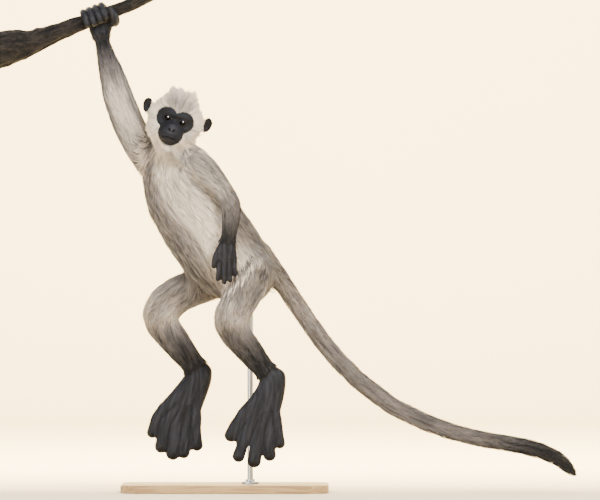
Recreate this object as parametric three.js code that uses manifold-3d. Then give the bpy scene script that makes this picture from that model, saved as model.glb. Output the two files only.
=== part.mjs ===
// A gray langur, life size, hanging by one hand from a short length of branch and carried by a rod on a flat base.
// Millimetres. +Z is up, +X runs along the tail, and the animal looks along -Y.
// The origin is the centre of the underside of the base. Every outline is that of the coat, out to its tips.
import * as THREE from "three";
import { mergeVertices } from "three/addons/utils/BufferGeometryUtils.js";
import Module from "manifold-3d";

const wasm = await Module();
wasm.setup();

// ---------------------------------------------------------------- driving dimensions
const GAP = 0.35; // clear space between two parts that meet
const at = (x, y, z) => new THREE.Vector3(x, y, z);
const DEPTH = at(0, 1, 0); // from front to back
const radians = THREE.MathUtils.degToRad;

const BASE = { length: 560, depth: 330, thick: 22, corner: 60, bevel: 3 };
const ROD = { x: 68, y: 12, radius: 8, collarRadius: 24, collarHeight: 12, top: 620 };

const HEAD_ROLL = radians(19); // the crown leans to +X
const HEAD_NOD = radians(8); // the brow leans forward
const BETWEEN_EYES = at(-134, -92, 1001);
const EYE = { side: 21.5, up: 0, front: -12.5, radius: 11.5 };
const MASK = { lobeSide: 22, lobeRadius: 28.5, muzzleDrop: 34, muzzleRadius: 33, centreDrop: 18 };
const MUZZLE = { drop: 38, front: -14, halfWidth: 38, halfHeight: 34, reach: 36 };
const HOOD = { halfWidth: 73, height: 78, throat: 82, jowl: 80, rim: -46, nape: -122, lift: 7 };
const EAR = { side: 84, up: 6, front: -62, halfHeight: 23, halfWidth: 17, thick: 5, cup: 7, turn: 30, lean: 10 };

const FINGER_RADIUS = 7.4;
const GRIP_FINGER_RADIUS = 8.4;
const TOE_HALF_WIDTHS = [20, 18.5, 19.5, 18, 14.5]; // from the great toe to the little toe
const TOE_HALF_THICK = 12;

// ---------------------------------------------------------------- building closed meshes
// A three.js geometry as a manifold-3d solid, turned the right way out.
function solidOf(geometry) {
  const bare = geometry.clone();
  bare.deleteAttribute("normal");
  bare.deleteAttribute("uv");
  const merged = mergeVertices(bare, 1e-3);
  const vertProperties = merged.attributes.position.array;
  const make = (triVerts) => new wasm.Manifold(new wasm.Mesh({ numProp: 3, vertProperties, triVerts }));
  const triVerts = Uint32Array.from(merged.index.array);
  const made = make(triVerts);
  return made.volume() > 0 ? made : make(triVerts.reverse());
}

// Closed rings of points, each joined to the next, with a point at either end.
function skinRings(start, rings, end) {
  const points = [start, ...rings.flat(), end];
  const sides = rings[0].length;
  const last = rings.length - 1;
  const triangles = [];
  const place = (ring, side) => 1 + ring * sides + (side % sides);
  for (let s = 0; s < sides; s++) {
    triangles.push(0, place(0, s + 1), place(0, s));
    triangles.push(points.length - 1, place(last, s), place(last, s + 1));
    for (let r = 0; r < last; r++) {
      triangles.push(place(r, s), place(r, s + 1), place(r + 1, s + 1));
      triangles.push(place(r, s), place(r + 1, s + 1), place(r + 1, s));
    }
  }
  const geometry = new THREE.BufferGeometry();
  const flat = Float32Array.from(points.flatMap((p) => [p.x, p.y, p.z]));
  geometry.setAttribute("position", new THREE.BufferAttribute(flat, 3));
  geometry.setIndex(triangles);
  return solidOf(geometry);
}

// A limb, finger or branch: an oval tube along a smooth line through its stations.
// Each station is [centre, half width, half thickness along "side"]. A cap is how many radii long a round end is.
function tube(stations, { sides = 12, between = 1, side = DEPTH, caps = [0.8, 0.8], grow = 0, bumps } = {}) {
  const line = new THREE.CatmullRomCurve3(stations.map((s) => s[0]));
  const girth = new THREE.CatmullRomCurve3(stations.map((s) => at(s[1], s[2] ?? s[1], 0)));
  const count = (stations.length - 1) * between;
  const capTurns = [28, 60].map(radians);
  const longways = (t, cap) => cap * Math.min(girth.getPoint(t).x, girth.getPoint(t).y) + (cap ? grow : 0);
  const ring = (t, shift, scale) => {
    const tangent = line.getTangent(t);
    const across = side.clone().addScaledVector(tangent, -side.dot(tangent)).normalize();
    const other = tangent.clone().cross(across);
    const centre = line.getPoint(t).addScaledVector(tangent, shift);
    const size = girth.getPoint(t);
    return Array.from({ length: sides }, (_, i) => {
      const angle = (2 * Math.PI * i) / sides;
      const swell = bumps ? bumps(t, angle) : 1;
      return centre
        .clone()
        .addScaledVector(across, (size.y * swell + grow) * scale * Math.cos(angle))
        .addScaledVector(other, (size.x * swell + grow) * scale * Math.sin(angle));
    });
  };
  const cap = (t, length) => capTurns.map((a) => ring(t, length * Math.cos(a), Math.sin(a)));
  const [startCap, endCap] = [longways(0, caps[0]), longways(1, caps[1])];
  const rings = Array.from({ length: count + 1 }, (_, i) => ring(i / count, 0, 1));
  if (caps[0]) rings.unshift(...cap(0, -startCap));
  if (caps[1]) rings.push(...cap(1, endCap).reverse());
  const tip = (t, shift) => line.getPoint(t).addScaledVector(line.getTangent(t), shift);
  return skinRings(tip(0, -startCap), rings, tip(1, endCap));
}

// ---------------------------------------------------------------- cutting and joining
const join = (...solids) => solids.reduce((a, b) => a.add(b));
const cut = (whole, ...others) => others.reduce((a, b) => a.subtract(b), whole);
const largest = (pieces) => pieces.decompose().reduce((a, b) => (a.volume() > b.volume() ? a : b));

// The two sides of a thin cut through a solid: what lies before the plane, and what lies past it.
function sever(whole, point, along) {
  const n = along.clone().normalize();
  const offset = n.dot(point);
  return [
    whole.trimByPlane([-n.x, -n.y, -n.z], -offset + GAP / 2),
    whole.trimByPlane([n.x, n.y, n.z], offset + GAP / 2),
  ];
}

// ---------------------------------------------------------------- trunk and neck
const trunkSolid = (grow = 0) =>
  tube(
    [
      [at(-158, 8, 922), 60, 56],
      [at(-148, 6, 872), 84, 70],
      [at(-124, 2, 812), 101, 82],
      [at(-90, -2, 762), 110, 88],
      [at(-54, -4, 710), 115, 91],
      [at(-17, -4, 660), 116, 92],
      [at(20, -2, 618), 108, 87],
      [at(54, 0, 583), 93, 77],
      [at(80, 4, 556), 66, 60],
    ],
    { sides: 16, caps: [0.6, 0.7], grow },
  );

const neckSolid = (grow = 0) =>
  tube(
    [
      [at(-152, 8, 900), 60, 55],
      [at(-140, -6, 950), 58, 54],
      [at(-130, -28, 1000), 54, 52],
    ],
    { sides: 10, grow },
  );

// ---------------------------------------------------------------- head
// Its own axes: side to the animal's left, up to the crown, and front along the gaze.
const headAxes = new THREE.Matrix4()
  .makeTranslation(BETWEEN_EYES)
  .multiply(new THREE.Matrix4().makeRotationY(HEAD_ROLL))
  .multiply(new THREE.Matrix4().makeRotationX(HEAD_NOD));
const inHead = (side, up, front) => at(side, -front, up).applyMatrix4(headAxes);

const mound = (x, width) => Math.exp(-((x / width) ** 2));

// How far the bare face stands forward at a place across and up it.
function faceFront(side, up) {
  const s = Math.abs(side);
  const skull = -2 - 0.007 * s * s - 0.003 * up * up;
  const brow = 7 * mound(up - 15, 7) * Math.exp(-((s / 40) ** 4));
  const socket = -7 * mound(Math.hypot((s - EYE.side) / 1.15, up + 1), 11);
  const bridge = 4 * mound(s, 7) * mound(up + 10, 14);
  const cheekbone = 4 * mound(Math.hypot(s - 36, up + 14), 13);
  const face = skull + brow + socket + bridge + cheekbone;
  const outside = (side / MUZZLE.halfWidth) ** 2 + ((up + MUZZLE.drop) / MUZZLE.halfHeight) ** 2;
  const roof = outside < 1 ? MUZZLE.reach * Math.sqrt(1 - outside) : 30 * (1 - outside);
  const muzzle = MUZZLE.front + roof + 3 * mound(Math.hypot(s, up + 27), 8);
  const blend = 0.22;
  return Math.log(Math.exp(blend * face) + Math.exp(blend * muzzle)) / blend;
}

// The edge of the bare face: two lobes round the eyes and one round the muzzle, as met going out from the nose.
function maskEdge(angle) {
  const [dx, dy] = [Math.cos(angle), Math.sin(angle)];
  const reach = (side, up, radius) => {
    const [x, y] = [side, up + MASK.centreDrop];
    const along = x * dx + y * dy;
    const inside = radius ** 2 - (x ** 2 + y ** 2 - along ** 2);
    return inside > 0 ? along + Math.sqrt(inside) : 0;
  };
  return Math.max(
    reach(MASK.lobeSide, 0, MASK.lobeRadius),
    reach(-MASK.lobeSide, 0, MASK.lobeRadius),
    reach(0, -MASK.muzzleDrop, MASK.muzzleRadius),
  );
}

// The widest outline of the furred head: round above, and squared off below by the jowls.
function hoodRim(angle, grow) {
  const [dx, dy] = [Math.cos(angle), Math.sin(angle)];
  const below = THREE.MathUtils.smoothstep(-dy, -0.1, 0.6);
  const wide = THREE.MathUtils.lerp(HOOD.halfWidth, HOOD.jowl, below) + grow;
  const tall = (dy > 0 ? HOOD.height + 3 * mound(dx, 0.2) : HOOD.throat) + grow;
  const power = 2 + below;
  const reach = (Math.abs(dx / wide) ** power + Math.abs(dy / tall) ** power) ** (-1 / power);
  return { side: reach * dx, up: reach * dy };
}

function headSolid(grow = 0) {
  const sectors = 24;
  const angles = Array.from({ length: sectors }, (_, i) => (2 * Math.PI * (i + 0.5)) / sectors);
  const faceSteps = [0.18, 0.36, 0.54, 0.72, 0.87, 1];
  const hoodSteps = [0.3, 0.6, 0.84, 1];
  const backTurns = [20, 42, 66].map(radians);
  const edge = (angle, share) => {
    const reach = share * THREE.MathUtils.lerp(40, maskEdge(angle), share ** 2);
    return { side: reach * Math.cos(angle), up: reach * Math.sin(angle) - MASK.centreDrop };
  };
  const onFace = (side, up) => inHead(side, up, faceFront(side, up) + grow);
  const face = faceSteps.map((share) =>
    angles.map((a) => onFace(edge(a, share).side, edge(a, share).up)),
  );
  const hood = hoodSteps.map((step) =>
    angles.map((a) => {
      const [from, to] = [edge(a, 1), hoodRim(a, grow)];
      const front = faceFront(from.side, from.up) + grow + HOOD.lift * Math.sin(Math.PI * step);
      return inHead(
        THREE.MathUtils.lerp(from.side, to.side, step),
        THREE.MathUtils.lerp(from.up, to.up, step),
        HOOD.rim + (front - HOOD.rim) * Math.sqrt(1 - step ** 2),
      );
    }),
  );
  const back = backTurns.map((turn) =>
    angles.map((a) => {
      const rim = hoodRim(a, grow);
      const front = HOOD.rim + (HOOD.nape - grow - HOOD.rim) * Math.sin(turn);
      return inHead(rim.side * Math.cos(turn), rim.up * Math.cos(turn) + 4 * Math.sin(turn), front);
    }),
  );
  const rings = [...face, ...hood, ...back];
  return skinRings(onFace(0, -MASK.centreDrop), rings, inHead(0, 4, HOOD.nape - grow));
}

const eyeSolid = (hand, grow = 0) => {
  const ball = new THREE.SphereGeometry(EYE.radius + grow, 10, 7);
  const place = inHead(hand * EYE.side, EYE.up, EYE.front);
  return solidOf(ball.translate(place.x, place.y, place.z));
};

// A shallow cup with a rounded rim, wider above than below. "hand" is 1 on the animal's left.
function earSolid(hand) {
  const sectors = 12;
  const [turn, lean] = [radians(EAR.turn), radians(EAR.lean)];
  const point = (angle, share, front) => {
    const wide = EAR.halfWidth * share * (1 + 0.12 * Math.sin(angle));
    const [x, z] = [wide * Math.cos(angle), EAR.halfHeight * share * Math.sin(angle)];
    const across = x * Math.cos(lean) + z * Math.sin(lean);
    return inHead(
      hand * (EAR.side + across * Math.cos(turn) + front * Math.sin(turn)),
      EAR.up + z * Math.cos(lean) - x * Math.sin(lean),
      EAR.front - across * Math.sin(turn) + front * Math.cos(turn),
    );
  };
  const bowl = (share) => EAR.cup * (share * share - 1);
  const ring = (share, front) =>
    Array.from({ length: sectors }, (_, i) => point((2 * Math.PI * i) / sectors, share, front));
  const rings = [
    ring(0.5, bowl(0.5)),
    ring(0.85, bowl(0.85)),
    ring(1, -EAR.thick / 2),
    ring(0.85, bowl(0.85) - EAR.thick),
    ring(0.5, bowl(0.5) - EAR.thick),
  ];
  return skinRings(point(0, 0, bowl(0)), rings, point(0, 0, bowl(0) - EAR.thick));
}

// ---------------------------------------------------------------- branch
const BRANCH = [
  [at(-629, 0, 1191), 55, 51],
  [at(-575, 0, 1202), 47, 44],
  [at(-520, 0, 1216), 34, 33],
  [at(-460, 0, 1237), 26, 26],
  [at(-400, 0, 1261), 21.5, 21.5],
  [at(-335, 0, 1284), 19.5, 19.5],
  [at(-265, 0, 1312), 18.5, 18.5],
  [at(-178, 0, 1351), 16, 16],
];
const bark = (t, angle) => 1 + 0.03 * Math.sin(19 * t + 2 * angle) + 0.02 * Math.sin(43 * t - 3 * angle);
const branchSolid = (grow = 0) =>
  tube(BRANCH, { sides: 11, between: 2, caps: [0, 0], grow, bumps: bark });

// ---------------------------------------------------------------- the hand that grips
const GRIP = { at: at(-340, 0, 1282), radius: 21, slope: radians(21.5) };
const alongBranch = at(Math.cos(GRIP.slope), 0, Math.sin(GRIP.slope));
const overBranch = at(-Math.sin(GRIP.slope), 0, Math.cos(GRIP.slope));

// A place round the branch: "turn" is 0 behind it, 90 on top of it and 180 in front of it.
const roundBranch = (shift, turn, out) =>
  GRIP.at
    .clone()
    .addScaledVector(alongBranch, shift)
    .addScaledVector(DEPTH, Math.cos(radians(turn)) * (GRIP.radius + out))
    .addScaledVector(overBranch, Math.sin(radians(turn)) * (GRIP.radius + out));

const RIGHT_WRIST = at(-334, 28, 1226);
const GRIP_FINGERS = [
  { shift: -36, tipTurn: 198 },
  { shift: -18, tipTurn: 207 },
  { shift: 0, tipTurn: 205 },
  { shift: 17.5, tipTurn: 194 },
];
function grippingHand() {
  const palm = tube(
    [
      [RIGHT_WRIST.clone(), 22, 19],
      [at(-338, 30, 1246), 30, 18],
      [roundBranch(1, -28, 13.5), 35, 14],
      [roundBranch(-3, 18, 11.5), 36, 11.5],
      [roundBranch(-7, 52, 9), 35, 9],
    ],
    { sides: 12, caps: [0.6, 0.8] },
  );
  const swell = [1.02, 0.97, 1, 0.86];
  const fingers = GRIP_FINGERS.map(({ shift, tipTurn }) =>
    tube(
      [52, 104, 152, tipTurn].map((turn, k) => [
        roundBranch(shift, turn, GRIP_FINGER_RADIUS),
        GRIP_FINGER_RADIUS * swell[k],
      ]),
      { sides: 6, side: alongBranch, caps: [0, 0.9] },
    ),
  );
  const thumb = tube(
    [
      [roundBranch(22, -40, 14), 13],
      [roundBranch(37, -92, 10), 12],
      [roundBranch(42, -150, 9.5), 10.5],
      [roundBranch(36, -200, 8), 8.5],
    ],
    { sides: 7, side: alongBranch, caps: [0, 0.9] },
  );
  return join(palm, ...fingers, thumb);
}

// ---------------------------------------------------------------- arms
const RIGHT_ELBOW = at(-287, 32, 1060);
const rightArmTube = () =>
  tube(
    [
      [at(-186, 20, 880), 50, 48],
      [at(-225, 25, 930), 48, 45],
      [at(-256, 29, 982), 46, 43],
      [at(-274, 31, 1026), 45, 41],
      [RIGHT_ELBOW.clone(), 43, 39],
      [at(-301, 31, 1108), 39, 35],
      [at(-314, 29, 1152), 33, 30],
      [at(-325, 28, 1190), 26, 24],
      [RIGHT_WRIST.clone(), 22, 19],
    ],
    { sides: 12 },
  );

const LEFT_ELBOW = at(16, -98, 782);
const LEFT_WRIST = at(9, -115, 680);
const leftArmTube = () =>
  tube(
    [
      [at(-92, -26, 888), 50, 46],
      [at(-52, -62, 868), 40, 37],
      [at(-17, -84, 830), 32, 31],
      [LEFT_ELBOW.clone(), 29, 29],
      [at(18, -108, 738), 27, 26],
      [at(14, -113, 706), 24, 22],
      [LEFT_WRIST.clone(), 21, 17],
    ],
    { sides: 12 },
  );

// The free hand hangs open, its back to the front and its thumb to the side of the belly.
const HANGING_FINGERS = [
  { root: at(-14, -111, 620), tip: at(-18, -108, 575) },
  { root: at(-1, -112, 622), tip: at(-1, -109, 566) },
  { root: at(13, -112, 621), tip: at(15, -109, 572) },
  { root: at(24, -110, 622), tip: at(29, -107, 587) },
];
function hangingHand() {
  const palm = tube(
    [
      [LEFT_WRIST.clone(), 21, 16],
      [at(6, -115, 656), 26, 14],
      [at(4, -113, 634), 30, 12.5],
      [at(5, -111, 614), 28, 10],
    ],
    { sides: 10, caps: [0.6, 0.6] },
  );
  const swell = [1, 1, 0.94, 0.8];
  const fingers = HANGING_FINGERS.map(({ root, tip }) =>
    tube(
      [0, 0.35, 0.68, 1].map((k, i) => [
        root.clone().lerp(tip, k).addScaledVector(DEPTH, -4 * Math.sin(Math.PI * k)),
        FINGER_RADIUS * swell[i],
      ]),
      { sides: 6, caps: [0, 0.9] },
    ),
  );
  const thumb = tube(
    [
      [at(-9, -114, 662), 11, 10],
      [at(-21, -115, 640), 9.5, 9],
      [at(-27, -113, 622), 8, 7.5],
      [at(-29, -111, 610), 6.5, 6],
    ],
    { sides: 6, caps: [0, 0.9] },
  );
  return join(palm, ...fingers, thumb);
}

// ---------------------------------------------------------------- legs
// The feet hang down with their backs to the front. Toes run from the great toe to the little toe.
const LEFT_LEG = {
  knee: at(13, -78, 470),
  ankle: at(112, -74, 330),
  leg: [
    [at(76, -42, 612), 60, 56],
    [at(62, -58, 560), 54, 52],
    [at(40, -68, 516), 52, 49],
    [at(18, -77, 482), 50, 45],
    [at(17, -80, 450), 46, 43],
    [at(33, -79, 422), 43, 41],
    [at(60, -76, 390), 40, 37],
    [at(86, -74, 358), 35, 32],
    [at(112, -74, 328), 31, 28],
  ],
  foot: [
    [at(138, -72, 318), 29, 24],
    [at(131, -75, 298), 36, 27],
    [at(122, -79, 268), 41, 23],
    [at(108, -83, 236), 48, 19],
    [at(93, -86, 205), 62, 15],
    [at(84, -88, 170), 68, 11],
  ],
  toes: [
    { knuckle: at(29, -86, 184), tip: at(14, -88, 148) },
    { knuckle: at(57, -90, 158), tip: at(35, -92, 92) },
    { knuckle: at(90, -92, 150), tip: at(78, -94, 79) },
    { knuckle: at(119, -90, 158), tip: at(121, -92, 95) },
    { knuckle: at(143, -87, 178), tip: at(149, -87, 126) },
  ],
};
const RIGHT_LEG = {
  knee: at(-172, 46, 488),
  ankle: at(-84, 41, 338),
  leg: [
    [at(4, 40, 588), 58, 54],
    [at(-58, 42, 564), 55, 51],
    [at(-116, 44, 539), 53, 49],
    [at(-158, 46, 514), 52, 47],
    [at(-176, 47, 485), 52, 46],
    [at(-173, 46, 456), 48, 43],
    [at(-152, 44, 428), 45, 40],
    [at(-124, 42, 392), 41, 37],
    [at(-99, 41, 360), 36, 33],
    [at(-80, 41, 336), 33, 29],
  ],
  foot: [
    [at(-60, 41, 330), 28, 24],
    [at(-68, 40, 314), 36, 27],
    [at(-84, 37, 282), 42, 23],
    [at(-106, 34, 244), 50, 19],
    [at(-124, 31, 212), 62, 15],
    [at(-132, 29, 182), 68, 11],
  ],
  toes: [
    { knuckle: at(-82, 28, 180), tip: at(-79, 26, 118) },
    { knuckle: at(-107, 27, 170), tip: at(-111, 23, 98) },
    { knuckle: at(-134, 27, 172), tip: at(-142, 23, 96) },
    { knuckle: at(-163, 28, 186), tip: at(-174, 24, 114) },
    { knuckle: at(-187, 30, 204), tip: at(-199, 28, 152) },
  ],
};

const limbSolid = ({ leg }, grow = 0) => tube(leg, { sides: 11, caps: [0.8, 0.5], grow });
function legSolid({ leg, foot, toes }) {
  const limb = limbSolid({ leg });
  const sole = tube(foot, { sides: 10, caps: [0.8, 0.8] });
  const instep = foot[2][0];
  const rays = toes.map(({ knuckle, tip }, i) => {
    const wide = TOE_HALF_WIDTHS[i];
    return tube(
      [
        [instep.clone().lerp(knuckle, 0.5), wide * 0.8, 13],
        [knuckle, wide, TOE_HALF_THICK],
        [knuckle.clone().lerp(tip, 0.5).addScaledVector(DEPTH, -4), wide * 0.93, TOE_HALF_THICK * 0.95],
        [tip, wide * 0.98, TOE_HALF_THICK * 0.9],
      ],
      { sides: 7, caps: [0, 0.9] },
    );
  });
  return join(limb, sole, ...rays);
}

// ---------------------------------------------------------------- tail
const TAIL = [
  [at(92, 28, 652), 32],
  [at(136, 44, 594), 30],
  [at(168, 50, 544), 29],
  [at(224, 54, 461), 28.5],
  [at(263, 55, 406), 28.5],
  [at(308, 54, 352), 28.5],
  [at(362, 51, 299), 28.5],
  [at(449, 45, 233), 28],
  [at(536, 39, 189), 27.5],
  [at(611, 34, 162), 26.5],
  [at(693, 29, 142), 26],
  [at(776, 25, 129), 26],
  [at(842, 21, 115), 26],
  [at(898, 18, 91), 24.5],
  [at(926, 17, 68), 21],
  [at(940, 16, 50), 16],
];
const tailLine = new THREE.CatmullRomCurve3(TAIL.map((s) => s[0]));
const TAIL_CUTS = [0.3, 0.47, 0.64, 0.82];

// ---------------------------------------------------------------- stand
function baseSolid() {
  const { length, depth, thick, corner, bevel } = BASE;
  const [x, y] = [length / 2 - corner, depth / 2 - corner];
  const outline = new THREE.Shape();
  outline.absarc(x, y, corner - bevel, 0, Math.PI / 2, false);
  outline.absarc(-x, y, corner - bevel, Math.PI / 2, Math.PI, false);
  outline.absarc(-x, -y, corner - bevel, Math.PI, 1.5 * Math.PI, false);
  outline.absarc(x, -y, corner - bevel, 1.5 * Math.PI, 2 * Math.PI, false);
  const plate = new THREE.ExtrudeGeometry(outline, {
    depth: thick - 2 * bevel,
    curveSegments: 4,
    bevelSize: bevel,
    bevelThickness: bevel,
    bevelSegments: 1,
  });
  return solidOf(plate.translate(0, 0, bevel));
}

function upright(radius, low, high, sides) {
  const rod = new THREE.CylinderGeometry(radius, radius, high - low, sides);
  rod.rotateX(Math.PI / 2);
  return solidOf(rod.translate(ROD.x, ROD.y, (low + high) / 2));
}

// ---------------------------------------------------------------- the whole, parted
const nodes = new Map();
const keep = (name, made, material) => nodes.set(name, { made: largest(made), material });

const materials = {
  fur: new THREE.MeshStandardMaterial({ color: "#c6bbad", roughness: 0.9 }),
  dark: new THREE.MeshStandardMaterial({ color: "#3a3635", roughness: 0.6 }),
  eye: new THREE.MeshStandardMaterial({ color: "#140d09", roughness: 0.08 }),
  bark: new THREE.MeshStandardMaterial({ color: "#4d453c", roughness: 0.9 }),
  steel: new THREE.MeshStandardMaterial({ color: "#b9b9b6", roughness: 0.35, metalness: 1 }),
  ash: new THREE.MeshStandardMaterial({ color: "#d9cbb3", roughness: 0.55 }),
};

const trunkRoom = trunkSolid(GAP);
const headRoom = headSolid(GAP);
const branchRoom = branchSolid(GAP);

const neck = cut(neckSolid(), trunkRoom, headRoom);
keep("trunk", cut(trunkSolid(), headRoom), materials.fur);
keep("neck", neck, materials.fur);
keep("head", cut(headSolid(), eyeSolid(-1, GAP), eyeSolid(1, GAP)), materials.fur);
for (const [side, hand] of [
  ["right", -1],
  ["left", 1],
]) {
  keep(`eye_${side}`, eyeSolid(hand), materials.eye);
  keep(`ear_${side}`, cut(earSolid(hand), headRoom), materials.dark);
}

const bodyRoom = [trunkRoom, headRoom, neckSolid(GAP)];
const rightArm = cut(join(rightArmTube(), grippingHand()), branchRoom, ...bodyRoom);
const [upperRight, lowerRight] = sever(rightArm, RIGHT_ELBOW, at(-14, 0, 50));
const [forearmRight, handRight] = sever(lowerRight, RIGHT_WRIST, at(-6, 0, 24));
keep("upper_arm_right", upperRight, materials.fur);
keep("forearm_right", forearmRight, materials.fur);
keep("hand_right", handRight, materials.dark);

const leftArm = cut(join(leftArmTube(), hangingHand()), ...bodyRoom);
const [upperLeft, lowerLeft] = sever(leftArm, LEFT_ELBOW, at(18, -12, -60));
const [forearmLeft, handLeft] = sever(lowerLeft, LEFT_WRIST, at(-2, 0, -20));
keep("upper_arm_left", upperLeft, materials.fur);
keep("forearm_left", forearmLeft, materials.fur);
keep("hand_left", handLeft, materials.dark);

const thighRoom = [limbSolid(LEFT_LEG, GAP), limbSolid(RIGHT_LEG, GAP)];
for (const [side, leg] of [
  ["left", LEFT_LEG],
  ["right", RIGHT_LEG],
]) {
  const whole = cut(legSolid(leg), trunkRoom);
  const [thigh, lower] = sever(whole, leg.knee, at(0, 0, -1));
  const [shin, foot] = sever(lower, leg.ankle, at(20, 0, -27));
  keep(`thigh_${side}`, thigh, materials.fur);
  keep(`shin_${side}`, shin, materials.fur);
  keep(`foot_${side}`, foot, materials.dark);
}

let tail = cut(tube(TAIL, { sides: 9, caps: [0.6, 1] }), trunkRoom, ...thighRoom);
TAIL_CUTS.forEach((t, i) => {
  const [near, far] = sever(tail, tailLine.getPoint(t), tailLine.getTangent(t));
  keep(`tail_${i + 1}`, near, materials.fur);
  tail = far;
});
keep(`tail_${TAIL_CUTS.length + 1}`, tail, materials.dark);

keep("perch_branch", branchSolid(), materials.bark);
keep("stand_base", baseSolid(), materials.ash);
const foot = BASE.thick + GAP;
const shaft = upright(ROD.radius, foot + ROD.collarHeight + GAP, ROD.top, 14);
keep("stand_collar", upright(ROD.collarRadius, foot, foot + ROD.collarHeight, 20), materials.steel);
const below = cut(shaft, trunkRoom, ...thighRoom).decompose();
nodes.set("stand_rod", {
  made: below.reduce((a, b) => (a.boundingBox().min[2] < b.boundingBox().min[2] ? a : b)),
  material: materials.steel,
});

const group = new THREE.Group();
for (const [name, { made, material }] of nodes) {
  const mesh = made.getMesh();
  const geometry = new THREE.BufferGeometry();
  const positions = new Float32Array(mesh.numVert * 3);
  for (let i = 0; i < mesh.numVert; i++)
    positions.set(mesh.vertProperties.subarray(i * mesh.numProp, i * mesh.numProp + 3), i * 3);
  geometry.setAttribute("position", new THREE.BufferAttribute(positions, 3));
  geometry.setIndex(new THREE.BufferAttribute(mesh.triVerts, 1));
  geometry.computeVertexNormals();
  const piece = new THREE.Mesh(geometry, material);
  piece.name = name;
  group.add(piece);
}

export default group;
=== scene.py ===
# A gray langur, life size, hanging by one hand from a cut length of branch, as a museum would show it.
# Metres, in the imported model's own frame: +Z is up, +X runs along the tail, and the animal looks along -Y.
import math

import bmesh
import bpy
import numpy as np
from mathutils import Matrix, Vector, noise
from mathutils.bvhtree import BVHTree


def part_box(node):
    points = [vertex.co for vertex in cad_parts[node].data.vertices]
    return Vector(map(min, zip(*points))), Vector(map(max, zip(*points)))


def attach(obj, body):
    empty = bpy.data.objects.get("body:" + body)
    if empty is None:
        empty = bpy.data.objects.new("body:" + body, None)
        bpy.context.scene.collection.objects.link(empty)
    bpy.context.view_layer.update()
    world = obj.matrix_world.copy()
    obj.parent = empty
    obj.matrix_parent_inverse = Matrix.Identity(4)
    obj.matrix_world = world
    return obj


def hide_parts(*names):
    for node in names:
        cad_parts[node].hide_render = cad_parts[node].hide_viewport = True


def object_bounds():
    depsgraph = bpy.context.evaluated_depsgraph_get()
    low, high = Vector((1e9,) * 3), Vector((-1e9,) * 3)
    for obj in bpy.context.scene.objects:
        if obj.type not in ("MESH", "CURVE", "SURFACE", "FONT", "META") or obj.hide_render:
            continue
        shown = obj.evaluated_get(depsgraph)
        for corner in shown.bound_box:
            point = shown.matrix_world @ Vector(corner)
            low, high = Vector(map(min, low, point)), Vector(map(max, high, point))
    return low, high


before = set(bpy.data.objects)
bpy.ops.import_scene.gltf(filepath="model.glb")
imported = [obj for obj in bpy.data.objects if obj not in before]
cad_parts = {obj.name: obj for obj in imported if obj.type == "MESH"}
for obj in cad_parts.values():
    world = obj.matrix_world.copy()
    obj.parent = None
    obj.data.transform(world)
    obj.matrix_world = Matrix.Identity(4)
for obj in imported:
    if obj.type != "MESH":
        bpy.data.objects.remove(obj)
cad_low, cad_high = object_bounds()

# ---------------------------------------------------------------- the room
# A wide pale floor that curves up, far behind, into a pale wall, with three large soft lamps on the animal
# and one on the wall. The camera stands far off, square on to the animal, and the branch runs out of view.
VIEW_WIDTH = 1.62
VIEW_SHAPE = 600 / 500
VIEW_DISTANCE = 20.0  # so far off that the view shows no perspective
OUT_OF_VIEW = 0.0325  # how much of the thick end of the branch the view cuts off
ABOVE_VIEW = 0.037  # and how much of its thin end
SENSOR = 0.036

view_middle = Vector((
    cad_low[0] + OUT_OF_VIEW + VIEW_WIDTH / 2,
    0,
    cad_high[2] - ABOVE_VIEW - VIEW_WIDTH / VIEW_SHAPE / 2,
))


def put_in_scene(name, data):
    """A new object in the scene, from its mesh, lamp or camera."""
    made = bpy.data.objects.new(name, data)
    bpy.context.scene.collection.objects.link(made)
    return made


camera = put_in_scene("camera", bpy.data.cameras.new("camera"))
camera.data.sensor_width = SENSOR * 1000
camera.data.lens = SENSOR * 1000 * VIEW_DISTANCE / VIEW_WIDTH
camera.location = view_middle - Vector((0, VIEW_DISTANCE, 0))
camera.rotation_euler = (math.pi / 2, 0, 0)
bpy.context.scene.camera = camera


def hang_lamp(name, place, aim, size, watts, colour):
    """A square soft lamp at a place, turned to what it lights."""
    lamp = put_in_scene(name, bpy.data.lights.new(name, "AREA"))
    lamp.data.size = size
    lamp.data.energy = watts
    lamp.data.color = colour
    lamp.location = place
    lamp.rotation_euler = (Vector(aim) - Vector(place)).to_track_quat("-Z", "Y").to_euler()


hang_lamp("lamp_key", (2.0, -3.3, 3.4), view_middle, 2.6, 500, (1.0, 0.98, 0.95))
hang_lamp("lamp_fill", (-2.6, -3.6, 1.4), view_middle, 3.2, 230, (0.97, 0.98, 1.0))
hang_lamp("lamp_back", (-1.6, 2.6, 3.2), view_middle, 2.6, 120, (0.86, 0.93, 1.0))
hang_lamp("lamp_wall", (0.2, 0.6, 5.2), (0.2, 9.5, 3.9), 4.0, 6800, (1.0, 0.86, 0.58))

world = bpy.data.worlds.new("room_air")
bpy.context.scene.world = world
world.use_nodes = True
world.node_tree.nodes["Background"].inputs["Color"].default_value = (1.0, 0.955, 0.88, 1)
world.node_tree.nodes["Background"].inputs["Strength"].default_value = 0.8


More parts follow.
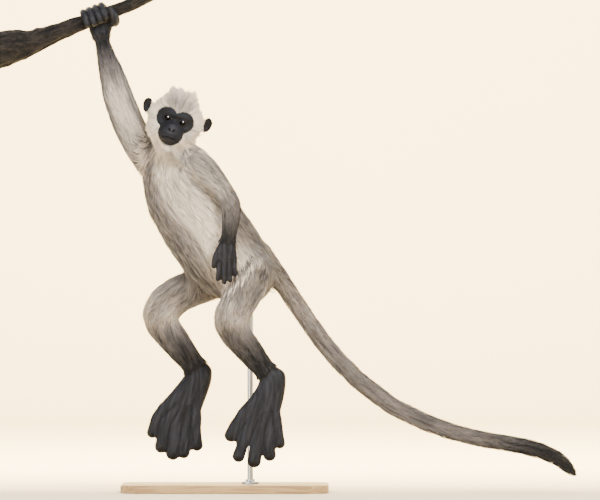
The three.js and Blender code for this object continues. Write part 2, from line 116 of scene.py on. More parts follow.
class Paint:
    """A shader socket that takes part in sums, so that 1 - mask adds the Math node that it needs."""

    def __init__(self, tree, socket=None):
        self.tree = tree
        self.socket = socket

    def node(self, kind, settings=None, sockets=None, out=0):
        """Any node: its settings first, then the values or links of its sockets. Gives one output."""
        made = self.tree.nodes.new("ShaderNode" + kind)
        for name, value in (settings or {}).items():
            if name == "stops":
                while len(made.color_ramp.elements) < len(value):
                    made.color_ramp.elements.new(0.5)
                for stop, (place, colour) in zip(made.color_ramp.elements, value):
                    stop.position = place
                    stop.color = colour
            else:
                setattr(made, name, value)
        for name, value in (sockets or {}).items():
            if isinstance(value, Paint):
                self.tree.links.new(value.socket, made.inputs[name])
            else:
                made.inputs[name].default_value = value
        return Paint(self.tree, made.outputs[out])

    def maths(self, operation, first, second):
        """A sum on two values or links."""
        return self.node("Math", {"operation": operation}, {0: first, 1: second})

    def __add__(self, other):
        return self.maths("ADD", self, other)

    __radd__ = __add__

    def __sub__(self, other):
        return self.maths("SUBTRACT", self, other)

    def __rsub__(self, other):
        return self.maths("SUBTRACT", other, self)

    def __mul__(self, other):
        return self.maths("MULTIPLY", self, other)

    __rmul__ = __mul__

    def wave(self):
        """The sine of this value."""
        return self.node("Math", {"operation": "SINE"}, {0: self})

    def to_and_fro(self, reach):
        """This value folded, so that it runs from 0 up to reach and back, over and over."""
        return self.maths("PINGPONG", self, reach)

    def step(self, low, high):
        """0 at low and 1 at high, with an easy curve between."""
        smooth = {"interpolation_type": "SMOOTHSTEP"}
        return self.node("MapRange", smooth, {"Value": self, "From Min": low, "From Max": high})

    def between(self, here, there):
        """One colour where this value is 0, the other where it is 1."""
        return self.node("Mix", {"data_type": "RGBA"}, {0: self, 6: here, 7: there}, out=2)

    def stretched(self, scale):
        """This place, as a vector, stretched by a scale for each direction."""
        return self.node("VectorMath", {"operation": "MULTIPLY"}, {0: self, 1: scale})

    def speckle(self, scale, detail=3.0, roughness=0.5):
        """A cloudy value from 0 to 1 at this place."""
        texture = {"Vector": self, "Scale": scale, "Detail": detail, "Roughness": roughness}
        return self.node("TexNoise", None, texture)

    def read(self, name, out=2):
        """A value that a mesh carries: out is 2 for a number and 1 for a vector."""
        return self.node("Attribute", {"attribute_name": name}, out=out)

    def bump(self, height, strength=1.0):
        """A surface that stands up by this value times a height in metres."""
        return self.node("Bump", None, {"Height": self, "Distance": height, "Strength": strength})


def colour(code):
    """A colour from its code in a paint chart, such as "#d6c8bb", as light."""
    parts = [int(code[i : i + 2], 16) / 255 for i in (1, 3, 5)]
    return (*[((c + 0.055) / 1.055) ** 2.4 if c > 0.04 else c / 12.92 for c in parts], 1.0)


def new_finish(name, fixed):
    """A new material with its shader's fixed values set. Gives it, the shader's sockets and a Paint."""
    made = bpy.data.materials.new(name)
    made.use_nodes = True
    shader = made.node_tree.nodes["Principled BSDF"]
    for socket, value in fixed.items():
        shader.inputs[socket].default_value = value
    return made, shader.inputs, Paint(made.node_tree)


def feed(sockets, name, paint):
    """Links a Paint to one of a shader's sockets."""
    paint.tree.links.new(paint.socket, sockets[name])


def place_of(paint):
    """Where a point of the surface is, in metres."""
    return paint.node("TexCoord", out=3)


def new_piece(name, points, faces, finish, smooth=True):
    """A mesh object from its points and faces, in the scene."""
    mesh = bpy.data.meshes.new(name)
    mesh.from_pydata(points, [], faces)
    mesh.update()
    if smooth:
        mesh.shade_smooth()
    mesh.materials.append(finish)
    return put_in_scene(name, mesh)


FLOOR = {"near": -24.0, "bends_from": 8.0, "bend": 1.5, "top": 9.0, "half_width": 14.0}
plaster, sockets, paint = new_finish("pale_plaster", {"Roughness": 0.9, "Specular IOR Level": 0.2})
plaster_cloud = place_of(paint).speckle(1.3, 2.0)
feed(sockets, "Base Color", plaster_cloud.between(colour("#f2e1be"), colour("#f7e6c5")))

sweep = [(FLOOR["near"], 0.0)] + [
    (FLOOR["bends_from"] + FLOOR["bend"] * math.sin(turn), FLOOR["bend"] - FLOOR["bend"] * math.cos(turn))
    for turn in np.linspace(0, math.pi / 2, 24)
] + [(FLOOR["bends_from"] + FLOOR["bend"], FLOOR["top"])]
floor = new_piece(
    "floor",
    [(x, y, z) for y, z in sweep for x in (-FLOOR["half_width"], FLOOR["half_width"])],
    [(2 * i, 2 * i + 1, 2 * i + 3, 2 * i + 2) for i in range(len(sweep) - 1)],
    plaster,
)

# ---------------------------------------------------------------- the skin
# One seamless skin over the whole animal, bare and near black on face, ears, hands and feet. It is the solids
# grown together, evened out, and drawn in under the coat by the coat's depth. Face, digits and ears are then
# modelled on it.
MM = 0.001
FLESH = [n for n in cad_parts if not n.startswith(("eye_", "perch_", "stand_"))]
GRAIN_OF_SKIN = 2.8 * MM  # how far apart the skin's points lie
COAT_DEPTH = {
    "head": 20, "neck": 16, "trunk": 12, "upper_arm": 9, "forearm": 7, "thigh": 10, "shin": 7,
    "tail": 8.5, "ear": 0, "hand": 0, "foot": 0,
}  # in millimetres
FURRED = [part for part, depth in COAT_DEPTH.items() if depth]


def unit(vectors):
    """Vectors brought to a length of 1."""
    return vectors / np.maximum(np.linalg.norm(vectors, axis=-1, keepdims=True), 1e-9)


def ease(values, low, high):
    """0 at low and 1 at high, with an easy curve between."""
    t = np.clip((values - low) / (high - low), 0, 1)
    return t * t * (3 - 2 * t)


def read_all(items, name, wide=3, kind=float):
    """One property of all the items of a mesh, as an array."""
    values = np.empty(len(items) * wide, kind)
    items.foreach_get(name, values)
    return values.reshape(-1, wide) if wide > 1 else values


def welded(node):
    """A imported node's points and triangles, with the corners that its faces share joined."""
    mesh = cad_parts[node].data
    points = read_all(mesh.vertices, "co")
    _, first, shared = np.unique(np.round(points, 6), axis=0, return_index=True, return_inverse=True)
    corners = read_all(mesh.loops, "vertex_index", 1, int)
    return points[first], shared.reshape(-1)[corners].reshape(-1, 3)


def surface_of(points, faces):
    """A surface on which the nearest place can be found."""
    return BVHTree.FromPolygons([tuple(p) for p in points], [tuple(f) for f in faces])


def outward(points, triangles):
    """The way out of a closed mesh at each point."""
    a, b, c = (points[triangles[:, k]] for k in range(3))
    ways = np.zeros_like(points)
    for k in range(3):
        np.add.at(ways, triangles[:, k], np.cross(b - a, c - a))
    return unit(ways)


def spread(values, edges, turns):
    """Values at a mesh's points, each evened out with its neighbours' a number of times."""
    first, second = edges.T
    neighbours = np.bincount(edges.ravel(), minlength=len(values))
    values = values.copy()
    flat = values.reshape(len(values), -1)
    for _ in range(turns):
        for column in flat.T:
            total = np.bincount(first, column[second], len(values))
            total += np.bincount(second, column[first], len(values))
            column += 0.5 * (total / neighbours - column)
    return values


def set_points(mesh, points):
    """Moves a mesh's points."""
    mesh.vertices.foreach_set("co", points.ravel())
    mesh.update()


def as_made(piece):
    """A piece's mesh with its modifiers applied."""
    return bpy.data.meshes.new_from_object(piece.evaluated_get(bpy.context.evaluated_depsgraph_get()))


def steps_along(places):
    """How far along a row of places each of them lies."""
    return np.concatenate([[0], np.cumsum(np.linalg.norm(np.diff(places, axis=0), axis=1))])


def even_out(row, turns):
    """Evens out a row of stations between its two ends, a number of times."""
    for _ in range(turns):
        row[1:-1] = (row[:-2] + 2 * row[1:-1] + row[2:]) / 4


# Fingers and toes, in millimetres: rows of stations from root to tip, each its middle, half its width and
# half its thickness. A palm or a sole is one more such row, without a nail.
DIGIT_STATIONS = 13
TOE_HALF_WIDTHS = {  # from the great toe to the little toe
    "foot_right": (15.5, 15.5, 18, 16.5, 14), "foot_left": (17, 16, 18, 16.5, 14),
}
TOE_HALF_THICK = 11.5
TOE_ROUND = 8  # how far back from its solid's end the middle of a toe's round end lies
FINGER_RADIUS = 6.9
GRIP = {"at": (-340, 0, 1282), "radius": 21, "slope": math.radians(21.5), "finger": 8.4, "first_turn": 52}
FEET = {  # instep, then knuckle and tip of each toe, then the sole
    "foot_right": (
        (-84, 37, 282),
        (((-80, 28, 180), (-75.5, 26, 118)), ((-108, 27, 170), (-112.5, 23, 98)),
         ((-134, 27, 172), (-142, 23, 96)), ((-163, 28, 186), (-174, 24, 114)),
         ((-187, 30, 204), (-199, 28, 152))),
        (((-84, 37, 282), 42, 23), ((-106, 34, 244), 50, 19),
         ((-124, 31, 212), 62, 15), ((-132, 29, 182), 66, 11)),
    ),
    "foot_left": (
        (122, -79, 268),
        (((29, -86, 184), (14, -88, 148)), ((57, -90, 158), (35, -92, 92)),
         ((90, -92, 150), (78, -94, 79)), ((119, -90, 158), (121, -92, 95)),
         ((143, -87, 178), (149, -87, 126))),
        (((122, -79, 268), 41, 23), ((108, -83, 236), 48, 19),
         ((93, -86, 205), 62, 15), ((84, -88, 170), 66, 11)),
    ),
}
HANGING_FINGERS = (
    ((-14, -111, 620), (-18, -108, 575)), ((-1, -112, 622), (-1, -109, 566)),
    ((13, -112, 621), (15, -109, 572)), ((24, -110, 622), (29, -107, 587)),
)
HANGING_THUMB = (
    ((-9, -114, 662), 11, 10), ((-21, -115, 640), 9.5, 9),
    ((-27, -113, 622), 8, 7.5), ((-29, -111, 610), 6.5, 6),
)
HANGING_PALM = (
    ((9, -115, 680), 21, 16), ((6, -115, 656), 26, 14),
    ((4, -113, 634), 30, 12.5), ((5, -111, 614), 28, 10),
)
GRIP_FINGERS = ((-36, 198), (-18, 207), (0, 205), (17.5, 194))  # place along the perch, and turn of the tip
GRIP_THUMB = ((22, -40, 14, 13), (37, -92, 10, 12), (42, -150, 9.5, 10.5), (36, -200, 8, 8.5))
GRIP_PALM = ((1, -28, 13.5, 35, 14), (-3, 18, 11.5, 36, 11.5), (-7, 52, 9, 35, 9))
BACK_OF_DIGIT = np.array([0, -1.0, 0])  # feet and free hand show their backs to the front
along_perch = np.array([math.cos(GRIP["slope"]), 0, math.sin(GRIP["slope"])])
over_perch = np.array([-math.sin(GRIP["slope"]), 0, math.cos(GRIP["slope"])])


def round_perch(shift, turn, out):
    """A place round the perch: turn is 0 behind it, 90 on top of it and 180 in front of it."""
    turn, reach = math.radians(turn), GRIP["radius"] + out
    way = math.sin(turn) * over_perch - math.cos(turn) * BACK_OF_DIGIT
    return GRIP["at"] + along_perch * shift + reach * way


def digit(stations, free):
    """A smooth row through stations, and how far along it, in millimetres, the digit comes free."""
    places = np.array([place for place, *_ in stations], float)
    steps = steps_along(places)
    finer = np.linspace(0, steps[-1], DIGIT_STATIONS)
    row = np.column_stack([places, [s[1] for s in stations], [s[-1] for s in stations]])
    row = np.column_stack([np.interp(finer, steps, column) for column in row.T])
    even_out(row, 3)
    return {"row": row, "along": finer - steps[free]}


def toe(instep, knuckle, tip, wide):
    """A toe from half-way down the instep, a little narrower between its knuckle and its round end."""
    instep, knuckle, tip = (np.array(place, float) for place in (instep, knuckle, tip))
    tip = tip + TOE_ROUND * unit(knuckle - tip)
    return digit([
        ((instep + knuckle) / 2, wide * 0.8, 13),
        (knuckle, wide, TOE_HALF_THICK + 0.5),
        (knuckle * 0.6 + tip * 0.4 + (0, -3, 0), wide * 0.88, TOE_HALF_THICK),
        (knuckle * 0.3 + tip * 0.7 + (0, -4, 0), wide * 0.95, TOE_HALF_THICK),
        (tip, wide * 1.05, TOE_HALF_THICK),
    ], 1)


def hanging_finger(root, tip):
    """A finger of the free hand, bent a little forward, with its joints a little thicker."""
    root, tip = np.array(root, float), np.array(tip, float)
    return digit([
        (root + (tip - root) * k - (0, 4 * math.sin(math.pi * k), 0), FINGER_RADIUS * swell)
        for k, swell in ((0, 1), (0.3, 0.93), (0.45, 1.0), (0.62, 0.9), (0.8, 0.95), (1, 0.88))
    ], 0)


GRIPPING_SWELLS = ((0, 1.0), (0.17, 0.96), (0.34, 1.06), (0.52, 0.95), (0.68, 1.03), (0.84, 0.95), (1, 0.86))


def gripping_finger(shift, tip_turn):
    """A finger of the upper hand, wrapped over the perch to a turn of its tip."""
    first = GRIP["first_turn"]
    return digit([
        (round_perch(shift, first + k * (tip_turn - first), GRIP["finger"]), GRIP["finger"] * swell)
        for k, swell in GRIPPING_SWELLS
    ], 1)


DIGITS = {
    **{
        name: [toe(instep, *ends, wide) for ends, wide in zip(toes, TOE_HALF_WIDTHS[name])] + [digit(sole, 0)]
        for name, (instep, toes, sole) in FEET.items()
    },
    "hand_left": [hanging_finger(*ends) for ends in HANGING_FINGERS] + [
        digit(HANGING_THUMB, 1),
        digit(HANGING_PALM, 0),
    ],
    "hand_right": [gripping_finger(*place) for place in GRIP_FINGERS] + [
        digit([(round_perch(*place), radius) for *place, radius in GRIP_THUMB], 1),
        digit([(round_perch(*place), wide, thick) for *place, wide, thick in GRIP_PALM], 0),
    ],
}
PARTED = {"foot_right": (0,), "foot_left": (0, 1)}  # the toes that stand clear of the next one
BLADE = {"thinnest": 2.5, "deep": 45, "beyond": 14, "opens": 0.5}
BLADE_CORNERS = ((-1, -1), (1, -1), (1, 1), (-1, 1))


def parting(first, second):
    """A blade between two toes, from where they part to beyond their tips: its points and faces."""
    places, wide = first["row"][:, :3], first["row"][:, 3]
    finer = np.linspace(0, DIGIT_STATIONS - 1, 8 * (DIGIT_STATIONS - 1) + 1)
    others = [np.interp(finer, np.arange(DIGIT_STATIONS), column) for column in second["row"].T]
    others = np.stack(others, axis=1)
    middles, thick = [], []
    for place, half in zip(places, wide):
        other = others[np.argmin(np.linalg.norm(others[:, :3] - place, axis=1))]
        reach = np.linalg.norm(other[:3] - place)
        gap = reach - half - other[3]
        if gap > BLADE["opens"]:
            middles.append(place + (other[:3] - place) / reach * (half + gap / 2))
            thick.append(max(gap / 2, BLADE["thinnest"]))
    middles.append(middles[-1] + BLADE["beyond"] * unit(places[-1] - places[-2]))
    ways = unit(np.gradient(np.array(middles), axis=0))
    aside = unit(np.cross(ways, BACK_OF_DIGIT))
    points = []
    for middle, side, half in zip(middles, aside, thick + thick[-1:]):
        for across, through in BLADE_CORNERS:
            points.append((middle + across * half * side + through * BLADE["deep"] * BACK_OF_DIGIT) * MM)
    last = 4 * len(middles) - 4
    faces = [(0, 1, 2, 3), (last + 3, last + 2, last + 1, last)]
    faces += [
        (4 * r + 4 + c, 4 * r + 4 + (c + 1) % 4, 4 * r + (c + 1) % 4, 4 * r + c)
        for r in range(len(middles) - 1) for c in range(4)
    ]
    return points, faces


def cut_between(points, triangles, blades):
    """A closed mesh with blades cut out of it."""
    solid = new_piece("solid", points.tolist(), triangles.tolist(), plaster)
    cutters = [new_piece("blade", *blade, plaster) for blade in blades]
    for cutter in cutters:
        cut = solid.modifiers.new("cut", "BOOLEAN")
        cut.operation = "DIFFERENCE"
        cut.solver = "EXACT"
        cut.object = cutter
    mesh = as_made(solid)
    mesh.calc_loop_triangles()
    for piece in (solid, *cutters):
        bpy.data.objects.remove(piece)
    return read_all(mesh.vertices, "co"), read_all(mesh.loop_triangles, "vertices", 3, int)


packed = {node: welded(node) for node in FLESH}
grown_points, grown_faces, face_nodes = [], [], []
OVERLAP = 0.6 * MM  # each solid swells by this, so that the thin cuts between them close
for index, node in enumerate(FLESH):
    points, triangles = packed[node]
    if node in PARTED:
        toes = DIGITS[node]
        blades = [parting(toes[k], toes[k + 1]) for k in PARTED[node]]
        points, triangles = cut_between(points, triangles, blades)
    grown_faces.append(triangles + sum(map(len, grown_points)))
    grown_points.append(points + OVERLAP * outward(points, triangles))
    face_nodes += [index] * len(triangles)
grown_points, grown_faces = np.concatenate(grown_points), np.concatenate(grown_faces)
body_form = new_piece("body_form", grown_points.tolist(), grown_faces.tolist(), plaster)
knit = body_form.modifiers.new("knit", "REMESH")
knit.mode = "VOXEL"
knit.voxel_size = GRAIN_OF_SKIN
skin_mesh = as_made(body_form)
skin_mesh.name = "skin"
bpy.data.objects.remove(body_form)

skin_points = read_all(skin_mesh.vertices, "co")
skin_edges = read_all(skin_mesh.edges, "vertices", 2, int)
form_surface = surface_of(grown_points, grown_faces)


def nodes_under(points):
    """For each point, the place in FLESH of the node that it lies on."""
    return np.array([face_nodes[form_surface.find_nearest(Vector(p))[2]] for p in points])


def on(*parts):
    """Which of the skin's points lie on nodes whose names start with these words."""
    return np.isin(nearest_node, [i for i, node in enumerate(FLESH) if node.startswith(parts)])


# Fingers and ears are evened out least, the round toes and the head more, and what lies under the coat most.
EVENED_ALL = 9
EVENED = (  # the parts that a round spares, how far its edge is spread, and how many turns the rest has
    (("hand", "ear"), 6, 24),
    (("hand", "foot", "ear", "head"), 12, 70),
)
nearest_node = nodes_under(skin_points)
skin_points = spread(skin_points, skin_edges, EVENED_ALL)
for spared, edge, turns in EVENED:
    kept = spread(on(*spared).astype(float), skin_edges, edge)[:, None]
    skin_points = kept * skin_points + (1 - kept) * spread(skin_points, skin_edges, turns)

BLEND_OF_DIGITS = {"foot": 2.2, "hand": 1.6}  # how wide the web between two of them is rounded
FREE = {"foot": (-40, 10), "hand": (-8, 5)}  # where along a digit the skin begins to lie on its own form


def from_digit(row, along, points):
    """How far outside a digit each point lies, and how far along it."""
    outside, place = np.full(len(points), np.inf), np.zeros(len(points))
    for here, there, start, end in zip(row[:-1], row[1:], along[:-1], along[1:]):
        chord = there[:3] - here[:3]
        share = np.clip((points - here[:3]) @ chord / (chord @ chord), 0, 1)
        offset = points - here[:3] - share[:, None] * chord
        thin_way = unit(BACK_OF_DIGIT - chord * (BACK_OF_DIGIT @ chord) / (chord @ chord))
        thin = offset @ thin_way
        broad = np.sqrt(np.maximum((offset**2).sum(axis=1) - thin**2, 0))
        half_wide, half_thick = (here[k] + share * (there[k] - here[k]) for k in (3, 4))
        scaled = np.hypot(broad / half_wide, thin / half_thick)
        gap = scaled * (scaled - 1) / np.maximum(np.hypot(broad / half_wide**2, thin / half_thick**2), 1e-6)
        nearer = gap < outside
        outside[nearer] = gap[nearer]
        place[nearer] = (start + share * (end - start))[nearer]
    return outside, place


def end_of_limb(digits, blend, points):
    """How far outside a hand or foot each point lies. Then, of its nearest digit, how far off it is, how far
    along it the point lies, and how much further off the next digit is."""
    *fingers, palm = np.array([from_digit(d["row"], d["along"], points) for d in digits])
    nearest, second = np.sort([outside for outside, _ in fingers], axis=0)[:2]
    along = np.array([place for _, place in fingers])[
        np.argmin([outside for outside, _ in fingers], axis=0), np.arange(len(points))
    ]
    form = nearest - np.maximum(blend - (second - nearest), 0) ** 2 / (4 * blend)
    whole = np.minimum(form, palm[0])
    whole = whole - np.maximum(2 * blend - np.abs(form - palm[0]), 0) ** 2 / (8 * blend)
    return whole, nearest, along, second - nearest


# The head's own axes, in millimetres from the point between the eyes: to its left, up, and forward.
HEAD_NOD = math.radians(8)
EYE_SET_BACK = 12.5
eye_middles = [sum(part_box(f"eye_{side}"), Vector()) / 2 for side in ("right", "left")]
head_side = (eye_middles[1] - eye_middles[0]).normalized()
level_up = head_side.cross(Vector((0, 1, 0))).normalized()
head_front = -math.cos(HEAD_NOD) * Vector((0, 1, 0)) - math.sin(HEAD_NOD) * level_up
head_up = -math.sin(HEAD_NOD) * Vector((0, 1, 0)) + math.cos(HEAD_NOD) * level_up
head_axes = np.array([head_side, head_up, head_front])
between_eyes = np.array((eye_middles[0] + eye_middles[1]) / 2 + head_front * EYE_SET_BACK * MM)


def in_head(points):
    """Places in the head's own axes."""
    return (points - between_eyes) @ head_axes.T / MM


def from_head(places):
    """Points from places in the head's own axes."""
    return between_eyes + places * MM @ head_axes


# The bare face, in the head's millimetres: two round lobes about the eyes and one about the muzzle.
EYE = {"side": 21.5, "up": 0, "radius": 11.5}
MASK = {"eye_side": 22, "eye_radius": 28.5, "muzzle_drop": 34, "muzzle_radius": 33}
MUZZLE = {"drop": 38, "front": -14, "half_width": 38, "half_height": 34, "reach": 36}
LID = {"thick": 1.3, "half_width": 8.2, "half_height": 6.2, "slant": 0.1}
NOSTRIL = {"side": 5.8, "drop": 25, "half_width": 3.0, "half_height": 4.2, "slant": 0.45, "deep": 6}
MOUTH = {"drop": 46, "half_width": 19, "turned_down": 2.8, "deep": 2.6}
FACE_BLEND = 0.22
BACK_OF_FACE = -45  # how far back the face reaches
# What stands up from the face or sinks into it: where it lies, how high or deep it is and how far it spreads.
BROW = {"up": 15, "high": 7, "spread": 7, "half_width": 40}
SOCKET = {"drop": 1, "deep": 7, "spread": 11, "wider": 1.15}
BRIDGE = {"drop": 10, "high": 4, "spread": 7, "long": 14}
CHEEKBONE = {"side": 36, "drop": 14, "high": 4, "spread": 13}
NOSE_TIP = {"drop": 23.5, "high": 3, "spread": 8}
NOSE_WING = {"side": 8.5, "high": 1.6, "spread": 3.4}
NOTCH = {"drop": 31, "deep": 1.2, "spread": 1.6, "long": 4}
LIPS = {"upper": (4, 1.3, 2.6), "lower": (-4.5, 1.7, 3)}  # above the mouth's line, height, spread
CHEEK_FOLD = {"side": 15, "leans": 0.45, "from": -30, "deep": 1.1, "spread": 1.6, "drop": 36, "long": 9}
FROWN = {"deep": 1.0, "half_width": 16, "lines": ((19, 1.5), (23.5, 1.4))}
EYE_BAG = {"from_eye": 15.5, "deep": 0.7, "spread": 1.3}


def mound(x, width):
    """1 at 0, falling away on both sides over a width."""
    return np.exp(-((x / width) ** 2))


def outside_mask(side, up):
    """How far a place lies outside the bare face, less than 0 within it."""
    eyes = np.hypot(np.abs(side) - MASK["eye_side"], up) - MASK["eye_radius"]
    muzzle = np.hypot(side, up + MASK["muzzle_drop"]) - MASK["muzzle_radius"]
    return np.minimum(eyes, muzzle)


def eye_opening(side, up):
    """1 on the edge of the lids, less within: an almond, its outer corner a little raised."""
    across = np.abs(side) - EYE["side"]
    above = up - EYE["up"] - LID["slant"] * across
    return np.hypot(across / LID["half_width"], above / LID["half_height"])


def nostril(side, up):
    """1 on the edge of a nostril, less within: a slit that leans in below."""
    across = np.abs(side) - NOSTRIL["side"] - NOSTRIL["slant"] * (up + NOSTRIL["drop"])
    return np.hypot(across / NOSTRIL["half_width"], (up + NOSTRIL["drop"]) / NOSTRIL["half_height"])


def mouth_line(side):
    """How far up the line between the lips runs."""
    return -MOUTH["drop"] - MOUTH["turned_down"] * (side / MOUTH["half_width"]) ** 2


def softly_higher(a, b, blend):
    """The higher of two values, rounded where they meet."""
    return np.logaddexp(blend * a, blend * b) / blend


def face_front(side, up):
    """How far forward the bare face stands at a place across and up it."""
    s = np.abs(side)
    skull = -2 - 0.007 * s**2 - 0.003 * up**2
    brow = BROW["high"] * mound(up - BROW["up"], BROW["spread"]) * np.exp(-((s / BROW["half_width"]) ** 4))
    socket = np.hypot((s - EYE["side"]) / SOCKET["wider"], up + SOCKET["drop"])
    socket = -SOCKET["deep"] * mound(socket, SOCKET["spread"])
    bridge = BRIDGE["high"] * mound(s, BRIDGE["spread"]) * mound(up + BRIDGE["drop"], BRIDGE["long"])
    cheekbone = np.hypot(s - CHEEKBONE["side"], up + CHEEKBONE["drop"])
    cheekbone = CHEEKBONE["high"] * mound(cheekbone, CHEEKBONE["spread"])
    outside = (side / MUZZLE["half_width"]) ** 2 + ((up + MUZZLE["drop"]) / MUZZLE["half_height"]) ** 2
    roof = MUZZLE["reach"] * np.sqrt(np.maximum(1 - outside, 0))
    roof = np.where(outside < 1, roof, 30 * (1 - outside))
    nose_tip = NOSE_TIP["high"] * mound(np.hypot(s, up + NOSE_TIP["drop"]), NOSE_TIP["spread"])
    front = softly_higher(
        skull + brow + socket + bridge + cheekbone, MUZZLE["front"] + roof + nose_tip, FACE_BLEND
    )
    wings = np.hypot(s - NOSE_WING["side"], up + NOSE_TIP["drop"])
    wings = NOSE_WING["high"] * mound(wings, NOSE_WING["spread"])
    notch = -NOTCH["deep"] * mound(s, NOTCH["spread"]) * mound(up + NOTCH["drop"], NOTCH["long"])
    lip_edge = np.exp(-((s / MOUTH["half_width"]) ** 6))
    from_mouth = up - mouth_line(side)
    lips = lip_edge * sum(high * mound(from_mouth - above, wide) for above, high, wide in LIPS.values())
    slit = -MOUTH["deep"] * mound(from_mouth, 1.5) * np.exp(-((s / (MOUTH["half_width"] + 1)) ** 8))
    cheek_fold = s - CHEEK_FOLD["side"] - CHEEK_FOLD["leans"] * (CHEEK_FOLD["from"] - up)
    cheek_fold = -CHEEK_FOLD["deep"] * mound(cheek_fold, CHEEK_FOLD["spread"])
    cheek_fold = cheek_fold * mound(up + CHEEK_FOLD["drop"], CHEEK_FOLD["long"])
    frown = -FROWN["deep"] * sum(mound(up - line, wide) for line, wide in FROWN["lines"])
    frown = frown * mound(s, FROWN["half_width"])
    front = front + wings + notch + lips + slit + cheek_fold + frown
    bag = -EYE_BAG["deep"] * mound(from_eye(side, up) - EYE_BAG["from_eye"], EYE_BAG["spread"])
    bag = bag * ease(-up, 2, 8)
    return front + bag - NOSTRIL["deep"] * np.exp(-(nostril(side, up) ** 4))


def from_eye(side, up):
    """How far a place lies from the middle of the eye on its side."""
    return np.hypot(np.abs(side) - EYE["side"], up - EYE["up"])


def lid_front(side, up):
    """How far forward the lids stand: a thin skin over the eyeball that runs out into the face."""
    away = from_eye(side, up)
    lid_radius = EYE["radius"] + LID["thick"]
    over_ball = np.sqrt(np.maximum(lid_radius**2 - away**2, 1)) - EYE_SET_BACK - 2 * np.maximum(away - 12, 0)
    fold = -0.6 * mound(eye_opening(side, up) - 1.42, 0.09)
    return softly_higher(face_front(side, up), over_ball, 0.4) + fold


def under_lids(side, up):
    """The bare face with a hollow for each eye, which the lids then cover."""
    return lid_front(side, up) - 7 * ease(from_eye(side, up), EYE["radius"] + 1.4, EYE["radius"] - 2)


# The coat's depth at each point of the skin, thinning out towards bare skin.
depth = np.zeros(len(skin_points))
for part in FURRED:
    depth[on(part)] = COAT_DEPTH[part]
side, up, front = in_head(skin_points).T
beyond_mask = np.where((front > BACK_OF_FACE) & on("head"), outside_mask(side, up), 99)
depth = np.minimum(depth, COAT_DEPTH["head"] * ease(beyond_mask, -2, 26))
depth = spread(depth, skin_edges, 30)

set_points(skin_mesh, skin_points)
out_of_skin = read_all(skin_mesh.vertices, "normal")
out_of_skin = unit(spread(out_of_skin, skin_edges, 12))
SWELL = 0.9 * MM  # what evening out the solids took off the round of a finger or toe
skin_points += out_of_skin * (SWELL - depth * MM)[:, None]
skin_points = spread(skin_points, skin_edges, 4)


def carry(mesh, name, values):
    """Gives a mesh a value, or a vector, at each of its points."""
    kind, field = ("FLOAT_VECTOR", "vector") if np.ndim(values) > 1 else ("FLOAT", "value")
    made = mesh.attributes.new(name, kind, "POINT")
    made.data.foreach_set(field, np.ravel(values).astype(np.float32))


def knit_finer(knitting, fine):
    """Divides each edge between two of the points that are to be finer."""
    edges = [e for e in knitting.edges if fine[e.verts[0].index] and fine[e.verts[1].index]]
    bmesh.ops.subdivide_edges(knitting, edges=edges, cuts=1, use_grid_fill=True)
    knitting.verts.index_update()


# The skin of hands, ears and face is divided finer than the rest, then moved until it lies on its form.
FINER_FACE = ((-17, 60), (-38, 25))  # how far up, and how wide: the whole bare face, then nostrils and mouth
set_points(skin_mesh, skin_points)
carry(skin_mesh, "depth", depth)
knitting = bmesh.new()
knitting.from_mesh(skin_mesh)
knit_finer(knitting, on("hand", "ear"))
for middle, reach in FINER_FACE:
    side, up, front = in_head(np.array([v.co for v in knitting.verts])).T
    fine = (front > -40) & (outside_mask(side, up) < 2) & (np.hypot(side, up - middle) < reach)
    knit_finer(knitting, fine)
knitting.to_mesh(skin_mesh)
knitting.free()

skin_points = read_all(skin_mesh.vertices, "co")
side, up, front = in_head(skin_points).T
NEAR_FACE = {"half_width": 75, "from": -80, "to": 50, "outside": 16, "held": 13}
near_face = (front > BACK_OF_FACE) & (np.abs(side) < NEAR_FACE["half_width"])
near_face &= (up > NEAR_FACE["from"]) & (up < NEAR_FACE["to"])
near_face &= outside_mask(side, up) < NEAR_FACE["outside"]
face_points = in_head(skin_points[near_face])
SLOPE_STEP = 0.2
LAYING_ROUNDS = 5
for _ in range(LAYING_ROUNDS):
    s, u, f = face_points.T
    off = f - under_lids(s, u)
    across = (under_lids(s + SLOPE_STEP, u) - under_lids(s - SLOPE_STEP, u)) / (2 * SLOPE_STEP)
    along = (under_lids(s, u + SLOPE_STEP) - under_lids(s, u - SLOPE_STEP)) / (2 * SLOPE_STEP)
    slope = np.stack([-across, -along, np.ones_like(s)], axis=1)
    held = 1 - ease(outside_mask(s, u), 0, NEAR_FACE["held"])
    move = np.clip(held * off / (slope**2).sum(axis=1), -3, 3)
    face_points -= move[:, None] * slope
skin_points[near_face] = from_head(face_points)

